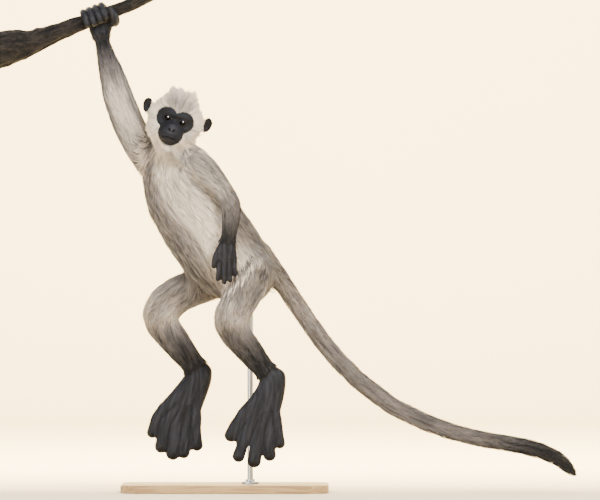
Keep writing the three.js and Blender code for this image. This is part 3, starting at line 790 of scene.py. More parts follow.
GROOVE = {"deep": 2.6, "wide": 3.4, "from": -110, "to": -20}  # between the bones of a hand's or foot's back
SLOPE_AXES = SLOPE_STEP * np.vstack([np.eye(3), -np.eye(3)])
skin_edges = read_all(skin_mesh.edges, "vertices", 2, int)
NEAR_SOLID = 4 * MM  # how far outside a solid the skin of its hand, foot or ear may lie
ends_of_limbs = []
for name, digits in DIGITS.items():
    low, high = (np.array(corner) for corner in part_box(name))
    inside = (skin_points > low - NEAR_SOLID) & (skin_points < high + NEAR_SOLID)
    held = np.flatnonzero(np.all(inside, axis=1))
    limb_end = name.split("_")[0]
    blend = BLEND_OF_DIGITS[limb_end]
    _, nearest, along, _ = end_of_limb(digits, blend, skin_points[held] / MM)
    share = ease(along, *FREE[limb_end]) * (1 - ease(np.abs(nearest), 5, 10))
    ends_of_limbs.append((digits, blend, held, share))
for rounds in (LAYING_ROUNDS, LAYING_ROUNDS - 2):
    for digits, blend, held, share in ends_of_limbs:
        points = skin_points[held] / MM
        for _ in range(rounds):
            outside = end_of_limb(digits, blend, points)[0]
            around = [end_of_limb(digits, blend, points + step)[0] for step in SLOPE_AXES]
            slope = np.stack([around[k] - around[k + 3] for k in range(3)], axis=1) / (2 * SLOPE_STEP)
            move = np.clip(share * outside, -2.5, 2.5) / np.maximum((slope**2).sum(axis=1), 0.3)
            points -= move[:, None] * slope
        skin_points[held] = points * MM
    evened = spread(skin_points, skin_edges, 2)
    for _, _, held, share in ends_of_limbs:
        skin_points[held] += share[:, None] * (evened[held] - skin_points[held])

SPIKE = {"from": 0.22 * MM, "to": 0.4 * MM, "turns": 14}  # how far off their neighbours stray points stand
all_held = np.unique(np.concatenate([held for _, _, held, _ in ends_of_limbs]))
for _ in range(SPIKE["turns"]):
    drawn = (spread(skin_points, skin_edges, 1) - skin_points)[all_held]
    stray = ease(np.linalg.norm(drawn, axis=1), SPIKE["from"], SPIKE["to"])
    skin_points[all_held] += stray[:, None] * drawn

digit_along = np.full(len(skin_points), -99.0)
between_digits = np.full(len(skin_points), 99.0)
set_points(skin_mesh, skin_points)
ways_out = read_all(skin_mesh.vertices, "normal")
for digits, blend, held, share in ends_of_limbs:
    _, nearest, along, between = end_of_limb(digits, blend, skin_points[held] / MM)
    groove = GROOVE["deep"] * mound(between, GROOVE["wide"]) * (1 - share)
    groove *= ease(along, GROOVE["from"], GROOVE["to"]) * (1 - ease(nearest, 4, 8))
    skin_points[held] -= groove[:, None] * MM * ways_out[held]
    digit_along[held] = np.where(nearest < 6, along, -99)
    between_digits[held] = np.where(nearest < 6, between, 99)

# Each ear is a shallow cup: a rolled rim, a furrow within it, a second fold, and the ear's own hollow.
set_points(skin_mesh, skin_points)
ways_out = read_all(skin_mesh.vertices, "normal")
EAR_FOLDS = ((0.9, 0.1, 1.0), (0.72, 0.08, -1.3), (0.55, 0.09, 0.8), (0.1, 0.3, -2.6))  # place, width, height
ear_hollow_shade = np.zeros(len(skin_points))
ear_outlines = []  # of each ear, its middle, and its two long axes over their half lengths


def out_on_ear(offset, axes, half):
    """How far out an offset from an ear's middle lies: 1 at the ear's rim."""
    return np.hypot(offset @ axes[0] / half[0], offset @ axes[1] / half[1])


for name in ("ear_right", "ear_left"):
    ear = packed[name][0]
    heart = ear.mean(axis=0)
    axes = np.linalg.svd(ear - heart, full_matrices=False)[2]
    opening = axes[2] * (1 if axes[2][1] < 0 else -1)
    half = [np.abs((ear - heart) @ axis).max() for axis in axes]
    ear_outlines.append((heart, axes[0] / half[0], axes[1] / half[1]))
    offset = skin_points - heart
    share = out_on_ear(offset, axes, half)
    on_ear = (share < 1.3) & (np.abs(offset @ opening) < half[2] + NEAR_SOLID)
    for way in (axes[0], -axes[0], axes[1], -axes[1]):  # evening out the skin took some width and height
        reach = offset @ way
        lost = ((ear - heart) @ way).max() / reach[on_ear & (share < 1.1)].max() - 1
        grown = np.clip(lost, 0, 0.6) * on_ear * (1 - ease(share, 1.0, 1.3)) * np.maximum(reach, 0)
        skin_points += grown[:, None] * way
    offset = skin_points - heart
    share = out_on_ear(offset, axes, half)
    here = (share < 1.15) & (np.abs(offset @ opening) < half[2] + NEAR_SOLID)
    faced = ease(ways_out @ opening, 0.0, 0.5) * here
    for place, width, height in EAR_FOLDS:
        skin_points += (faced * height * MM * mound(share - place, width))[:, None] * opening
    # Painted shade: the middle of the cup and the furrow within the rim are darkened.
    ear_hollow_shade = np.maximum(ear_hollow_shade, faced * np.maximum(0.8 * mound(share, 0.35), 0.5 * mound(share - 0.72, 0.1)))

set_points(skin_mesh, skin_points)
carry(skin_mesh, "digit_along", digit_along)
carry(skin_mesh, "between_digits", between_digits)
carry(skin_mesh, "ear_hollow_shade", ear_hollow_shade)

# What lies under the coat is then thinned out to fewer triangles.
skin = put_in_scene("skin", skin_mesh)
under_coat = ease(read_all(skin_mesh.attributes["depth"].data, "value", 1), 1.5, 4)
under_coat[near_face & (outside_mask(side, up) < 3)] = 0
thinned = skin.vertex_groups.new(name="under_coat")
for tenth in range(1, 11):
    here = np.flatnonzero(np.ceil(under_coat * 10) == tenth)
    thinned.add(here.tolist(), tenth / 10, "REPLACE")
SKIN_TRIANGLES = 190_000  # about how many it then has
thin = skin.modifiers.new("thin", "DECIMATE")
thin.vertex_group = "under_coat"
thin.ratio = SKIN_TRIANGLES / sum(len(f.vertices) - 2 for f in skin_mesh.polygons)
skin_mesh = as_made(skin)
skin.modifiers.clear()
skin.vertex_groups.clear()
skin.data = skin_mesh
skin_mesh.name = "skin"
skin_mesh.shade_smooth()
skin_points = read_all(skin_mesh.vertices, "co")
skin_ways_out = read_all(skin_mesh.vertices, "normal")
skin_edges = read_all(skin_mesh.edges, "vertices", 2, int)
depth, digit_along, between_digits, ear_hollow_shade = (
    read_all(skin_mesh.attributes[name].data, "value", 1)
    for name in ("depth", "digit_along", "between_digits", "ear_hollow_shade")
)
nearest_node = nodes_under(skin_points)

# The lie of the coat: a line down the middle of the body, of each limb and of the tail, from which every
# point of the skin takes how far along and which way round it lies. The hair there points along the line.
LINES = {
    "body": ["neck", "trunk"],
    "arm_right": ["upper_arm_right", "forearm_right", "hand_right"],
    "arm_left": ["upper_arm_left", "forearm_left", "hand_left"],
    "leg_right": ["thigh_right", "shin_right", "foot_right"],
    "leg_left": ["thigh_left", "shin_left", "foot_left"],
    "tail": ["tail_1", "tail_2", "tail_3", "tail_4", "tail_5"],
}
STARTS = {"body": "head", "tail": "trunk"}  # a limb starts at the trunk as well
TOUCHING = 1.2 * MM
SLICE = 0.035


def meeting(node, other):
    """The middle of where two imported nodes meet."""
    surface = surface_of(*packed[other])
    points = packed[node][0]
    touching = [surface.find_nearest(Vector(p), TOUCHING)[0] is not None for p in points]
    return points[np.array(touching)].mean(axis=0)


def far_end(node, joint):
    """The middle of the part of a node that lies furthest from its joint."""
    points = skin_points[nearest_node == FLESH.index(node)]
    reach = np.linalg.norm(points - joint, axis=1)
    return points[reach > np.quantile(reach, 0.93)].mean(axis=0)


def middle_line(nodes, start):
    """Points down the middle of a row of nodes: where each meets the next, and middles of slices between."""
    line = [start]
    for k, node in enumerate(nodes):
        last = k + 1 == len(nodes)
        end = far_end(node, line[-1]) if last else meeting(node, nodes[k + 1])
        begin, chord = line[-1], end - line[-1]
        points = skin_points[nearest_node == FLESH.index(node)]
        along = (points - begin) @ chord / (chord @ chord)
        count = max(1, round(np.linalg.norm(chord) / SLICE))
        for i in range(1, count):
            line.append(points[np.abs(along * count - i) < 0.5].mean(axis=0))
        line.append(end)
    line = np.array(line)
    even_out(line, 4)
    return line


middle_lines = {
    name: middle_line(nodes, meeting(nodes[0], STARTS.get(name, "trunk"))) for name, nodes in LINES.items()
}
line_names = list(LINES)
line_of_node = [
    next((k for k, name in enumerate(line_names) if node in LINES[name]), -1) for node in FLESH
]
line_at = np.array(line_of_node)[nearest_node]  # -1 on the head


def along_line(line, points):
    """How far along a line each point lies, which way the line runs there, and the way out from it."""
    lengths = np.linalg.norm(np.diff(line, axis=0), axis=1)
    best = np.full(len(points), np.inf)
    along, ways, offsets = np.zeros(len(points)), np.zeros_like(points), np.zeros_like(points)
    for k, length in enumerate(lengths):
        way = (line[k + 1] - line[k]) / length
        share = (points - line[k]) @ way
        low = -np.inf if k == 0 else 0
        high = np.inf if k == len(lengths) - 1 else length
        share = np.clip(share, low, high)
        offset = points - line[k] - share[:, None] * way
        gap = (offset**2).sum(axis=1)
        here = gap < best
        best[here] = gap[here]
        along[here] = lengths[:k].sum() + share[here]
        ways[here] = way
        offsets[here] = offset[here]
    return along, ways, offsets


HEAD_HEART = np.array([0, -6, -52])  # the middle of the skull, in the head's millimetres
SKULL = 0.075
FADES = {  # how far above the wrist or ankle the coat stops being black, and how far it takes to fade
    "arm_right": (0.032, 0.145), "arm_left": (0.02, 0.15),
    "leg_right": (0.01, 0.16), "leg_left": (0.04, 0.16),
}
LEAST_SHADE = {  # how grey the side that faces the front is, the coat's own tone; each greys further towards the back, partly the coat's own darker back and partly painted shade
    "body": 0.0, "arm_right": 0.34, "arm_left": 0.58, "leg_right": 0.92, "leg_left": 0.92, "tail": 0.72,
}
KNEE = {"paler": 0.5, "reach": 0.05}
CHEST_SHADE = 0.16
HEAD_SHADE = {"all_over": 0.1, "nape": 0.45, "crown": 0.5}
TAIL_SOOT = {"all_along": 0.28, "tip": 0.72}


def markings(points, lines):
    """What skin and coat both carry at places on the body: the grain's own axes (across, across and along, in
    metres), how sooty and how grey it is (its own tone, with painted shade on the sides turned away from the
    front), the way the hair lies, and its place on a flattened hide."""
    found = {
        "grain": np.zeros_like(points), "soot": np.zeros(len(points)), "shade": np.zeros(len(points)),
        "lie": np.zeros_like(points), "hide": np.zeros((len(points), 2)),
    }
    for k, name in enumerate(line_names):
        here = lines == k
        line = middle_lines[name]
        along, ways, offsets = along_line(line, points[here])
        first = unit(np.array([0, 1, 0]) - ways * ways[:, 1:2])
        second = np.cross(ways, first)
        back, flank = (offsets * first).sum(axis=1), (offsets * second).sum(axis=1)
        length = np.linalg.norm(np.diff(line, axis=0), axis=1).sum()
        found["grain"][here] = np.stack([back, flank, along], axis=1)
        share = along / length
        least, full_from = LEAST_SHADE[name], -0.4 if name == "body" else 0.0
        # Painted shade: each part greys on the sides turned away from the front, most at the back, over its
        # own tone; at the back this is also the langur's own darker coat.
        found["shade"][here] = least + (1 - least) * ease(unit(offsets)[:, 1], -1.0, full_from)
        if name == "body":
            chest = CHEST_SHADE * (1 - ease(share, 0.2, 0.55))
            found["shade"][here] += chest * (1 - found["shade"][here])
        found["lie"][here] = ways
        turn = np.arctan2(flank, back) / (2 * math.pi) + 0.5
        found["hide"][here] = np.clip(np.stack([turn, share], axis=1), 0.002, 0.998)
        if name in FADES:
            joints = np.array([meeting(*LINES[name][:2]), meeting(*LINES[name][1:])])
            knee, cuff = along_line(line, joints)[0]
            black_from, fade = FADES[name]
            found["soot"][here] = np.clip((along - cuff + black_from) / fade + 1, 0, 1) ** 1.2
            if name.startswith("leg"):
                found["shade"][here] *= 1 - KNEE["paler"] * mound(along - knee, KNEE["reach"])
        if name == "tail":
            tip_soot = TAIL_SOOT["tip"] * ease(share, 0.65, 0.94)
            found["soot"][here] = TAIL_SOOT["all_along"] * ease(share, 0, 0.7) + tip_soot
    here = lines == -1
    side, up, front = (in_head(points[here]) - HEAD_HEART).T
    turn, away = np.arctan2(up, side), np.arctan2(np.hypot(side, up), front)
    out_from_face = np.stack([np.cos(turn), np.sin(turn), np.zeros_like(turn)], axis=1)
    downward = 2.2 * ease(-front, 5, 65)
    lie = out_from_face + np.array([[0, 0, -0.9]]) - downward[:, None] * np.array([[0, 1, 0]])
    found["lie"][here] = unit(lie) @ head_axes
    found["grain"][here] = np.stack([SKULL * np.cos(turn), SKULL * np.sin(turn), SKULL * away], axis=1)
    crown = HEAD_SHADE["crown"] * mound(turn - 1.5, 0.6) * mound(away - 0.7, 0.45)
    found["shade"][here] = HEAD_SHADE["all_over"] + HEAD_SHADE["nape"] * ease(away, 1.4, 2.6) + crown
    found["hide"][here] = 0.5 + (0.49 * away / math.pi)[:, None] * out_from_face[:, :2]
    return found


def laid_flat(ways, ways_out):
    """Directions pressed down onto the skin."""
    return unit(ways - (ways * ways_out).sum(axis=1, keepdims=True) * ways_out)


hide = markings(skin_points, line_at)
hair_lie = laid_flat(spread(laid_flat(hide["lie"], skin_ways_out), skin_edges, 45), skin_ways_out)

side, up, front = in_head(skin_points).T
in_face = (nearest_node == FLESH.index("head")) & (front > BACK_OF_FACE)
to_mask = np.where(in_face, outside_mask(side, up), 99)
bare = np.where(in_face, ease(-to_mask, -2.6, -1.6), ease(-depth, -3.5, -1))
# The coat's roots pass a little way under the edge of what is painted as bare.
hairless = np.where(in_face, ease(-to_mask, -0.6, 0.6), ease(-depth, -3.0, -0.6))
hairless = np.maximum(hairless, ease(spread(on("hand").astype(float), skin_edges, 6), 0.6, 0.95))
# Painted shade: the skin darkens in the grooves between digits, in the nostrils, along the mouth's line, at
# the edges of the lids and round the eyes, and in the ears' cups, where shade would fall.
shade_between_digits = 0.85 * mound(between_digits, 3.0) * ease(digit_along, -95, -15)
hollow_shade = np.where(in_face & (to_mask < 6), 1, 0) * np.maximum.reduce([
    np.exp(-(nostril(side, up) ** 4)),
    mound(up - mouth_line(side), 1.7) * np.exp(-((side / (MOUTH["half_width"] + 1)) ** 8)),
    ease(eye_opening(side, up), 1.25, 1.0),
    0.45 * ease(eye_opening(side, up), 2.2, 1.2),
])
hollow_shade = np.maximum.reduce([hollow_shade, shade_between_digits, ear_hollow_shade])
# Painted highlight: a lighter wedge down the raised ridge of the nose, where it would catch the light.
bridge = np.where(in_face, 1, 0) * mound(side, 9 + 0.1 * (-10 - up)) * ease(-up, 6, 14) * ease(up, -37, -31)
for name, values in {
    "grain": hide["grain"], "soot": hide["soot"], "shade": hide["shade"],
    "bare": bare, "hollow": hollow_shade, "bridge": bridge, "face": on("head", "ear").astype(float),
}.items():
    carry(skin_mesh, name, values)


COAT_TONES = [  # from the palest hair to the blackest
    (0.0, colour("#f2e6d3")), (0.25, colour("#b5aa9f")), (0.5, colour("#807975")), (0.75, colour("#565353")),
    (1.0, colour("#232324")),
]


def coat_colour(paint):
    """The coat's colour: pale, with darker strokes along the hair, grey on the back and sides (partly its own
    tone, partly painted shade) and soot at the ends.
    """
    grain = paint.read("grain", out=1)
    shade, soot = paint.read("shade"), paint.read("soot")
    broad = grain.stretched((1, 1, 0.14)).speckle(38, 2.0).step(0.4, 0.66)
    strokes = grain.stretched((1, 1, 0.09)).speckle(125, 2.0, 0.6).step(0.46, 0.68)
    fine = grain.stretched((1, 1, 0.08)).speckle(330, 2.0, 0.6).step(0.48, 0.7)
    streaks = (broad * 0.21 + strokes * 0.32 + fine * 0.12 - 0.19) * (shade * 0.42 + 0.44) * (1 - soot * 0.55)
    tone = shade * 0.7 + soot * (1 - shade * 0.7) + streaks
    return tone.node("ValToRGB", {"stops": COAT_TONES}, {"Fac": tone})


hide_finish, sockets, paint = new_finish("skin", {"Specular IOR Level": 0.13})
place = place_of(paint)
grain = paint.read("grain", out=1)
bare_paint, soot_cloud = paint.read("bare"), place.speckle(60, 4.0)
rays = grain.stretched((1, 1, 0.1)).speckle(120, 3.0, 0.6)
hand_colour = rays.step(0.35, 0.7).between(colour("#141518"), colour("#26262b"))
face_colour = soot_cloud.step(0.3, 0.75).between(colour("#111216"), colour("#191a1f"))
bare_colour = paint.read("face").between(hand_colour, face_colour)
# Painted highlight on the ridge of the nose.
bare_colour = (paint.read("bridge") * 0.8).between(bare_colour, colour("#2c2c31"))
# Painted shade: near black in the hollows.
bare_colour = paint.read("hollow").between(bare_colour, colour("#060506"))
feed(sockets, "Base Color", bare_paint.between(coat_colour(paint), bare_colour))
feed(sockets, "Roughness", soot_cloud * 0.2 + 0.48)
along_digit = paint.read("digit_along") * 1.5 + place.speckle(70, 2.0) * 7
wrinkles = along_digit.wave() * paint.read("digit_along").step(-30, 0)
pores = place.speckle(1100, 2.0) * 0.4 + grain.stretched((0.3, 0.3, 1)).speckle(420, 2.0) * 0.6
feed(sockets, "Normal", (pores + rays * 0.6 + wrinkles * 0.06).bump(0.0012, 0.5))
skin_mesh.materials.clear()
skin_mesh.materials.append(hide_finish)
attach(skin, "root")
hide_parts(*FLESH)


# ---------------------------------------------------------------- the eyes and lids
# Two glass eyes with a clear bulge over a dark brown iris, and the lids round them: thin rims of bare skin
# that roll in against the glass at an almond opening and run out under the face.
CORNEA = {"turn": math.radians(33), "bulge": 0.9}


def lathe_faces(rings, around, closed_start=True, closed_end=True):
    """The faces of a row of rings of points, with a fan at a single point before and after them."""
    faces, first = [], 1 if closed_start else 0
    for r in range(rings - 1):
        for k in range(around):
            a, b = first + r * around + k, first + r * around + (k + 1) % around
            faces.append((a, b, b + around, a + around))
    last = first + (rings - 1) * around
    for k in range(around):
        if closed_start:
            faces.append((0, first + (k + 1) % around, first + k))
        if closed_end:
            faces.append((last + around, last + k, last + (k + 1) % around))
    return faces


def turned_over(faces):
    """The same faces, seen from their other side."""
    return [face[::-1] for face in faces]


def further_on(faces, first):
    """The same faces, for points that start further on in a list."""
    return [tuple(corner + first for corner in face) for face in faces]


def carry_all(mesh, **values):
    """The same value at every point, for finishes that expect one."""
    for name, value in values.items():
        carry(mesh, name, np.full(len(mesh.vertices), float(value)))


GLINT = {"way": (0.27, -0.92, 0.28), "from": 0.34, "to": 0.22}  # where on an eye the polish is brightest
BALL_RINGS = np.radians(np.arange(6, 180, 6))
BALL_SPINS = np.radians(np.arange(0, 360, 9))
glass, sockets, paint = new_finish("glass_eye", {
    "Roughness": 0.06, "Specular IOR Level": 0.08, "Coat IOR": 2.4, "Coat Roughness": 0.03,
})
feed(sockets, "Coat Weight", paint.read("polish"))
away = paint.read("away")
fibres = paint.read("spokes", out=1).speckle(3.0, 3.0)
iris = fibres.step(0.3, 0.7).between(colour("#030201"), colour("#090503"))
eye_colour = away.step(2.9, 3.3).between(colour("#020202"), iris)
eye_colour = away.step(6.0, 6.7).between(eye_colour, colour("#050303"))
feed(sockets, "Base Color", away.step(7.6, 9.0).between(eye_colour, colour("#120e0c")))

for name, middle in zip(("eye_right", "eye_left"), eye_middles):
    reach = EYE["radius"] + CORNEA["bulge"] * np.clip(1 - (BALL_RINGS / CORNEA["turn"]) ** 2, 0, 1) ** 2
    points = [middle + Vector((0, -1, 0)) * (EYE["radius"] + CORNEA["bulge"]) * MM]
    for turn, far in zip(BALL_RINGS, reach * MM):
        for spin in BALL_SPINS:
            way = Vector((math.sin(turn) * math.cos(spin), -math.cos(turn), -math.sin(turn) * math.sin(spin)))
            points.append(middle + way * far)
    points.append(middle + Vector((0, 1, 0)) * EYE["radius"] * MM)
    ball = new_piece(name + "_glass", points, lathe_faces(len(BALL_RINGS), len(BALL_SPINS)), glass)
    all_turns = np.concatenate([[0], np.repeat(BALL_RINGS, len(BALL_SPINS)), [math.pi]])
    all_spins = np.concatenate([[0], np.tile(BALL_SPINS, len(BALL_RINGS)), [0]])
    carry(ball.data, "away", np.where(all_turns < math.pi / 2, EYE["radius"] * np.sin(all_turns), 20))
    out = unit(np.array(points) - np.array(middle))
    from_glint = np.linalg.norm(out - unit(np.array(GLINT["way"])), axis=1)
    carry(ball.data, "polish", ease(-from_glint, -GLINT["from"], -GLINT["to"]))
    carry(ball.data, "spokes", np.stack([np.cos(all_spins), np.sin(all_spins), 0.06 * all_turns], axis=1) * 2)
    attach(ball, "root")
    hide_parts(name)

LID_OUT = EYE["radius"] + 3.4
LID_ROWS = (  # share of the way from the opening to the lid's outer edge, and of the roll over the glass
    (0.0, 0.0), (-0.02, 0.5), (0.0, 1.0), (0.06, None), (0.2, None), (0.38, None),
    (0.56, None), (0.74, None), (0.9, None), (1.0, None),
)
OFF_GLASS = 0.1
lid_points, lid_faces = [], []
spins = np.radians(np.arange(0, 360, 7.5))
edge = np.stack([
    LID["half_width"] * np.cos(spins),
    LID["half_height"] * np.sin(spins) + LID["slant"] * LID["half_width"] * np.cos(spins),
], axis=1)
rim = LID_OUT * unit(edge)
for hand in (-1, 1):
    rows = []
    for share, over in LID_ROWS:
        across, above = (edge + share * (rim - edge)).T
        side = hand * (EYE["side"] + across)
        forward = lid_front(side, above + EYE["up"])
        on_ball = np.sqrt(EYE["radius"] ** 2 - np.minimum(across**2 + above**2, 100)) - EYE_SET_BACK
        if over is not None:
            forward = on_ball + OFF_GLASS + over * LID["thick"] * 0.9
        forward = forward + OFF_GLASS - 0.6 * ease(np.array(share), 0.85, 1.0)
        rows.append(from_head(np.stack([side, above + EYE["up"], forward], axis=1)))
    rows = np.concatenate(rows)
    faces = lathe_faces(len(rows) // len(spins), len(spins), False, False)
    lid_faces += further_on(turned_over(faces) if hand > 0 else faces, len(lid_points))
    lid_points += rows.tolist()
eyelids = new_piece("eyelids", lid_points, lid_faces, hide_finish)
carry_all(eyelids.data, bare=1, soot=0, shade=0, bridge=0, face=1, digit_along=-99)
side, up, _ = in_head(np.array(lid_points)).T
from_opening = eye_opening(side, up)
# Painted shade: the lids darken where they roll in against the glass, and faintly round the eye.
carry(eyelids.data, "hollow", np.maximum(ease(from_opening, 1.12, 0.98), 0.4 * ease(from_opening, 2.2, 1.2)))
carry(eyelids.data, "grain", np.array(lid_points) - between_eyes)
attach(eyelids, "root")

# ---------------------------------------------------------------- the nails
# Small dark nails, one set into the back of the end of each finger and toe: a thin arched plate of horn that
# grows out of a fold of skin, rounded at its free end.
NAIL = {"thick": 1.0, "arch": 0.8, "proud": 0.25, "bend": 0.4, "across": 9, "lengthwise": 10}
NAIL_SHAPES = {  # half width over the digit's, and where it starts and ends past the middle of the tip
    "foot": (0.38, -0.15, 0.76), "hand": (0.55, -0.6, 0.72),
}
skin_mesh.calc_loop_triangles()
skin_triangles = read_all(skin_mesh.loop_triangles, "vertices", 3, int)
skin_surface = surface_of(skin_points, skin_triangles)


def nail(row, back, half_width, start, end):
    """A nail's points, a grid above and one below, its skin side sunk into the digit's back."""
    tip, wide = row[-1, :3], row[-1, 3]
    along = unit(row[-1, :3] - row[-3, :3])
    back = unit(back - along * (back @ along))
    side = np.cross(along, back)
    above = []
    for v in np.linspace(0, 1, NAIL["lengthwise"]):
        end_round, root_round = 0.85 * max(0, (v - 0.65) / 0.35) ** 2, 0.4 * max(0, 1 - v / 0.2) ** 2
        breadth = half_width * wide * math.sqrt(1 - end_round - root_round)
        line = []
        for u in np.linspace(-1, 1, NAIL["across"]):
            place = tip + side * u * breadth + along * (start + (end - start) * v) * wide
            high = (place + back * 2 * wide) * MM
            hit = skin_surface.ray_cast(Vector(high), Vector(-back), 4 * wide * MM)[0]
            rise = (np.array(hit) / MM - place) @ back if hit else -wide
            rise += NAIL["proud"] + NAIL["arch"] * (1 - u * u)
            if above:
                drop = NAIL["bend"] * (end - start) * wide / (NAIL["lengthwise"] - 1)
                rise = max(rise, (above[-1][len(line)] - place) @ back - drop)
            line.append(place + back * rise)
        above.append(line)
    above = np.array(above)
    return np.concatenate([above.reshape(-1, 3), (above - back * NAIL["thick"]).reshape(-1, 3)])


def plate_faces(rows, across):
    """The faces of a closed plate: a grid of points above and the same below."""
    below, faces = rows * across, []
    for r in range(rows - 1):
        for k in range(across - 1):
            a = r * across + k
            faces.append((a, a + 1, a + 1 + across, a + across))
            faces.append((below + a + across, below + a + across + 1, below + a + 1, below + a))
    edge = list(range(across)) + [r * across + across - 1 for r in range(1, rows)]
    edge += [(rows - 1) * across + k for k in range(across - 2, -1, -1)]
    edge += [r * across for r in range(rows - 2, 0, -1)]
    for a, b in zip(edge, edge[1:] + edge[:1]):
        faces.append((b, a, a + below, b + below))
    return faces


horn, sockets, paint = new_finish("nail_horn", {"Specular IOR Level": 0.2})
lengthwise = paint.read("plate", out=1)
ridges = lengthwise.stretched((9, 0.6, 1)).speckle(3.0, 3.0)
tip_share = paint.read("to_tip")
horn_colour = ridges.step(0.3, 0.7).between(colour("#0b0b0c"), colour("#131315"))
feed(sockets, "Base Color", (tip_share.step(0.7, 1.0) * 0.5).between(horn_colour, colour("#1c1b1d")))
feed(sockets, "Roughness", ridges * 0.2 + 0.4)
feed(sockets, "Normal", ridges.bump(0.0004, 0.6))

nail_points, nail_faces, nail_places = [], [], []
one_nail = plate_faces(NAIL["lengthwise"], NAIL["across"])
grid = np.meshgrid(np.linspace(-1, 1, NAIL["across"]), np.linspace(0, 1, NAIL["lengthwise"]))
grid = np.stack(grid, axis=-1).reshape(-1, 2)
for name, digits in DIGITS.items():
    for held in digits[:-1]:
        from_perch = held["row"][-1, :3] - GRIP["at"]
        out_of_perch = unit(from_perch - along_perch * (from_perch @ along_perch))
        back = out_of_perch if name == "hand_right" else BACK_OF_DIGIT
        nail_faces += further_on(one_nail, len(nail_points))
        nail_points += (nail(held["row"], back, *NAIL_SHAPES[name[:4]]) * MM).tolist()
        nail_places += [(u + 4 * len(nail_places), v, 0) for u, v in np.tile(grid, (2, 1))]
nails = new_piece("nails", nail_points, nail_faces, horn)
nails.data.set_sharp_from_angle(angle=math.radians(50))
carry(nails.data, "plate", np.array(nail_places))
carry(nails.data, "to_tip", np.array(nail_places)[:, 1])
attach(nails, "root")

# ---------------------------------------------------------------- the coat
# Hair in thin pointed locks over the skin, longest on crown, cheeks and trunk, shortest at wrists and ankles.
# Each lock is a closed spindle of twelve triangles that rises from the skin to the coat's outline.
HAIR = {  # length and width of a lock, in millimetres
    "head": (36, 1.25), "ear": (12, 1.0), "neck": (46, 2.2), "trunk": (46, 2.4),
    "upper_arm": (38, 2.2), "forearm": (30, 1.8), "thigh": (40, 2.3), "shin": (30, 1.9),
    "tail": (30, 1.9), "hand": (12, 1.2), "foot": (13, 1.3),
}
CROWN = {"right": 112, "left": 66, "spread": 15, "longer": 3}  # two tufts, by their turn about the face
BEARD_LONGER = 26
FRINGE = {  # the short hair that edges the bare face
    "reach": 16, "ends": 40, "length": 9, "grows": 0.8, "width": 0.8, "widens": 0.02,
}
hair_length, hair_width = np.zeros(len(skin_points)), np.zeros(len(skin_points))
for part, (long, wide) in HAIR.items():
    here = on(part)
    hair_length[here], hair_width[here] = long, wide
near_mask = np.where(in_face, np.clip(to_mask, 0, FRINGE["ends"]), FRINGE["ends"])
in_fringe = near_mask < FRINGE["ends"]
fringe_length = FRINGE["length"] + FRINGE["grows"] * near_mask
fringe_width = FRINGE["width"] + FRINGE["widens"] * near_mask
hair_length = np.where(in_fringe, np.minimum(hair_length, fringe_length), hair_length)
hair_width = np.where(in_fringe, np.minimum(hair_width, fringe_width), hair_width)
side, up, front = in_head(skin_points).T
chin = np.where(in_face, ease(-up, 56, 78), 0.0)  # the beard, whose hair hangs clear of the throat
crown_turn = np.degrees(np.arctan2(up, side))
tufts = sum(mound(crown_turn - CROWN[tuft], CROWN["spread"]) for tuft in ("right", "left"))
crown = np.where(on("head", "ear") & (front > -90), ease(up, 30, 55), 0.0) * tufts
cuff = ease(spread(np.where(in_face, 0, bare), skin_edges, 25), 0.02, 0.4)  # near bare hands, feet and ears
hair_length = hair_length * (1 - 0.72 * cuff) + BEARD_LONGER * chin + CROWN["longer"] * crown
hair_length = spread(hair_length, skin_edges, 4)
hair_width = spread(hair_width * (1 - 0.3 * cuff), skin_edges, 4)

corner_a, corner_b, corner_c = (skin_points[skin_triangles[:, k]] for k in range(3))
triangle_area = np.linalg.norm(np.cross(corner_b - corner_a, corner_c - corner_a), axis=1) / 2
triangle_line = line_at[skin_triangles[:, 0]]
furred = hairless[skin_triangles].min(axis=1) < 0.98

LOCK_RINGS = ((0.3, 0.5, 1.0), (0.7, 0.9, 0.6))  # how far along, how far risen, and how wide
LOCK_FACES = np.array([
    (0, 2, 1), (0, 3, 2), (0, 1, 3),
    (1, 2, 5), (1, 5, 4), (2, 3, 6), (2, 6, 5), (3, 1, 4), (3, 4, 6),
    (4, 5, 7), (5, 6, 7), (6, 4, 7),
])
LOCK_ALONG = np.array([0, 0.3, 0.3, 0.3, 0.7, 0.7, 0.7, 1])
LOCK_POINTS = len(LOCK_ALONG)
LOCK_PATCH = 0.003 * np.array([
    (0, -0.5), (0, -0.2), (-0.5, -0.1), (0.5, -0.1), (0, 0.2), (-0.3, 0.1), (0.3, 0.1), (0, 0.5),
])
THIN = 0.4  # a lock's thickness over its width
WISP = (0.008, 0.008, 0.026)  # locks whose roots share a cell this big, in the grain's axes, end in one wisp
STRAYS = 0.05  # the share of locks that stand loose of the rest
SHORT_OF_EAR = 0.74  # how much is cut off a lock whose tip would lie across an ear
LEAN = 0.6  # how far a lock leans aside by its own luck, and by its wisp's
BEARD_HANGS = unit(np.array([0.28, -0.12, -0.95]))
quick_share = 1


def hugging(points, height, share):
    """Points brought, by a share of the way, to a height over the skin nearest to them."""
    found = [skin_surface.find_nearest(Vector(p))[:2] for p in points.tolist()]
    near = np.array([place for place, _ in found])
    ways = np.array([way for _, way in found])
    return points + share[:, None] * (near + ways * height[:, None] - points)


def at_roots(values, picks, shares):
    """Values at the skin's points, brought to places within its triangles."""
    return np.einsum("nk,nk...->n...", shares, values[skin_triangles[picks]])


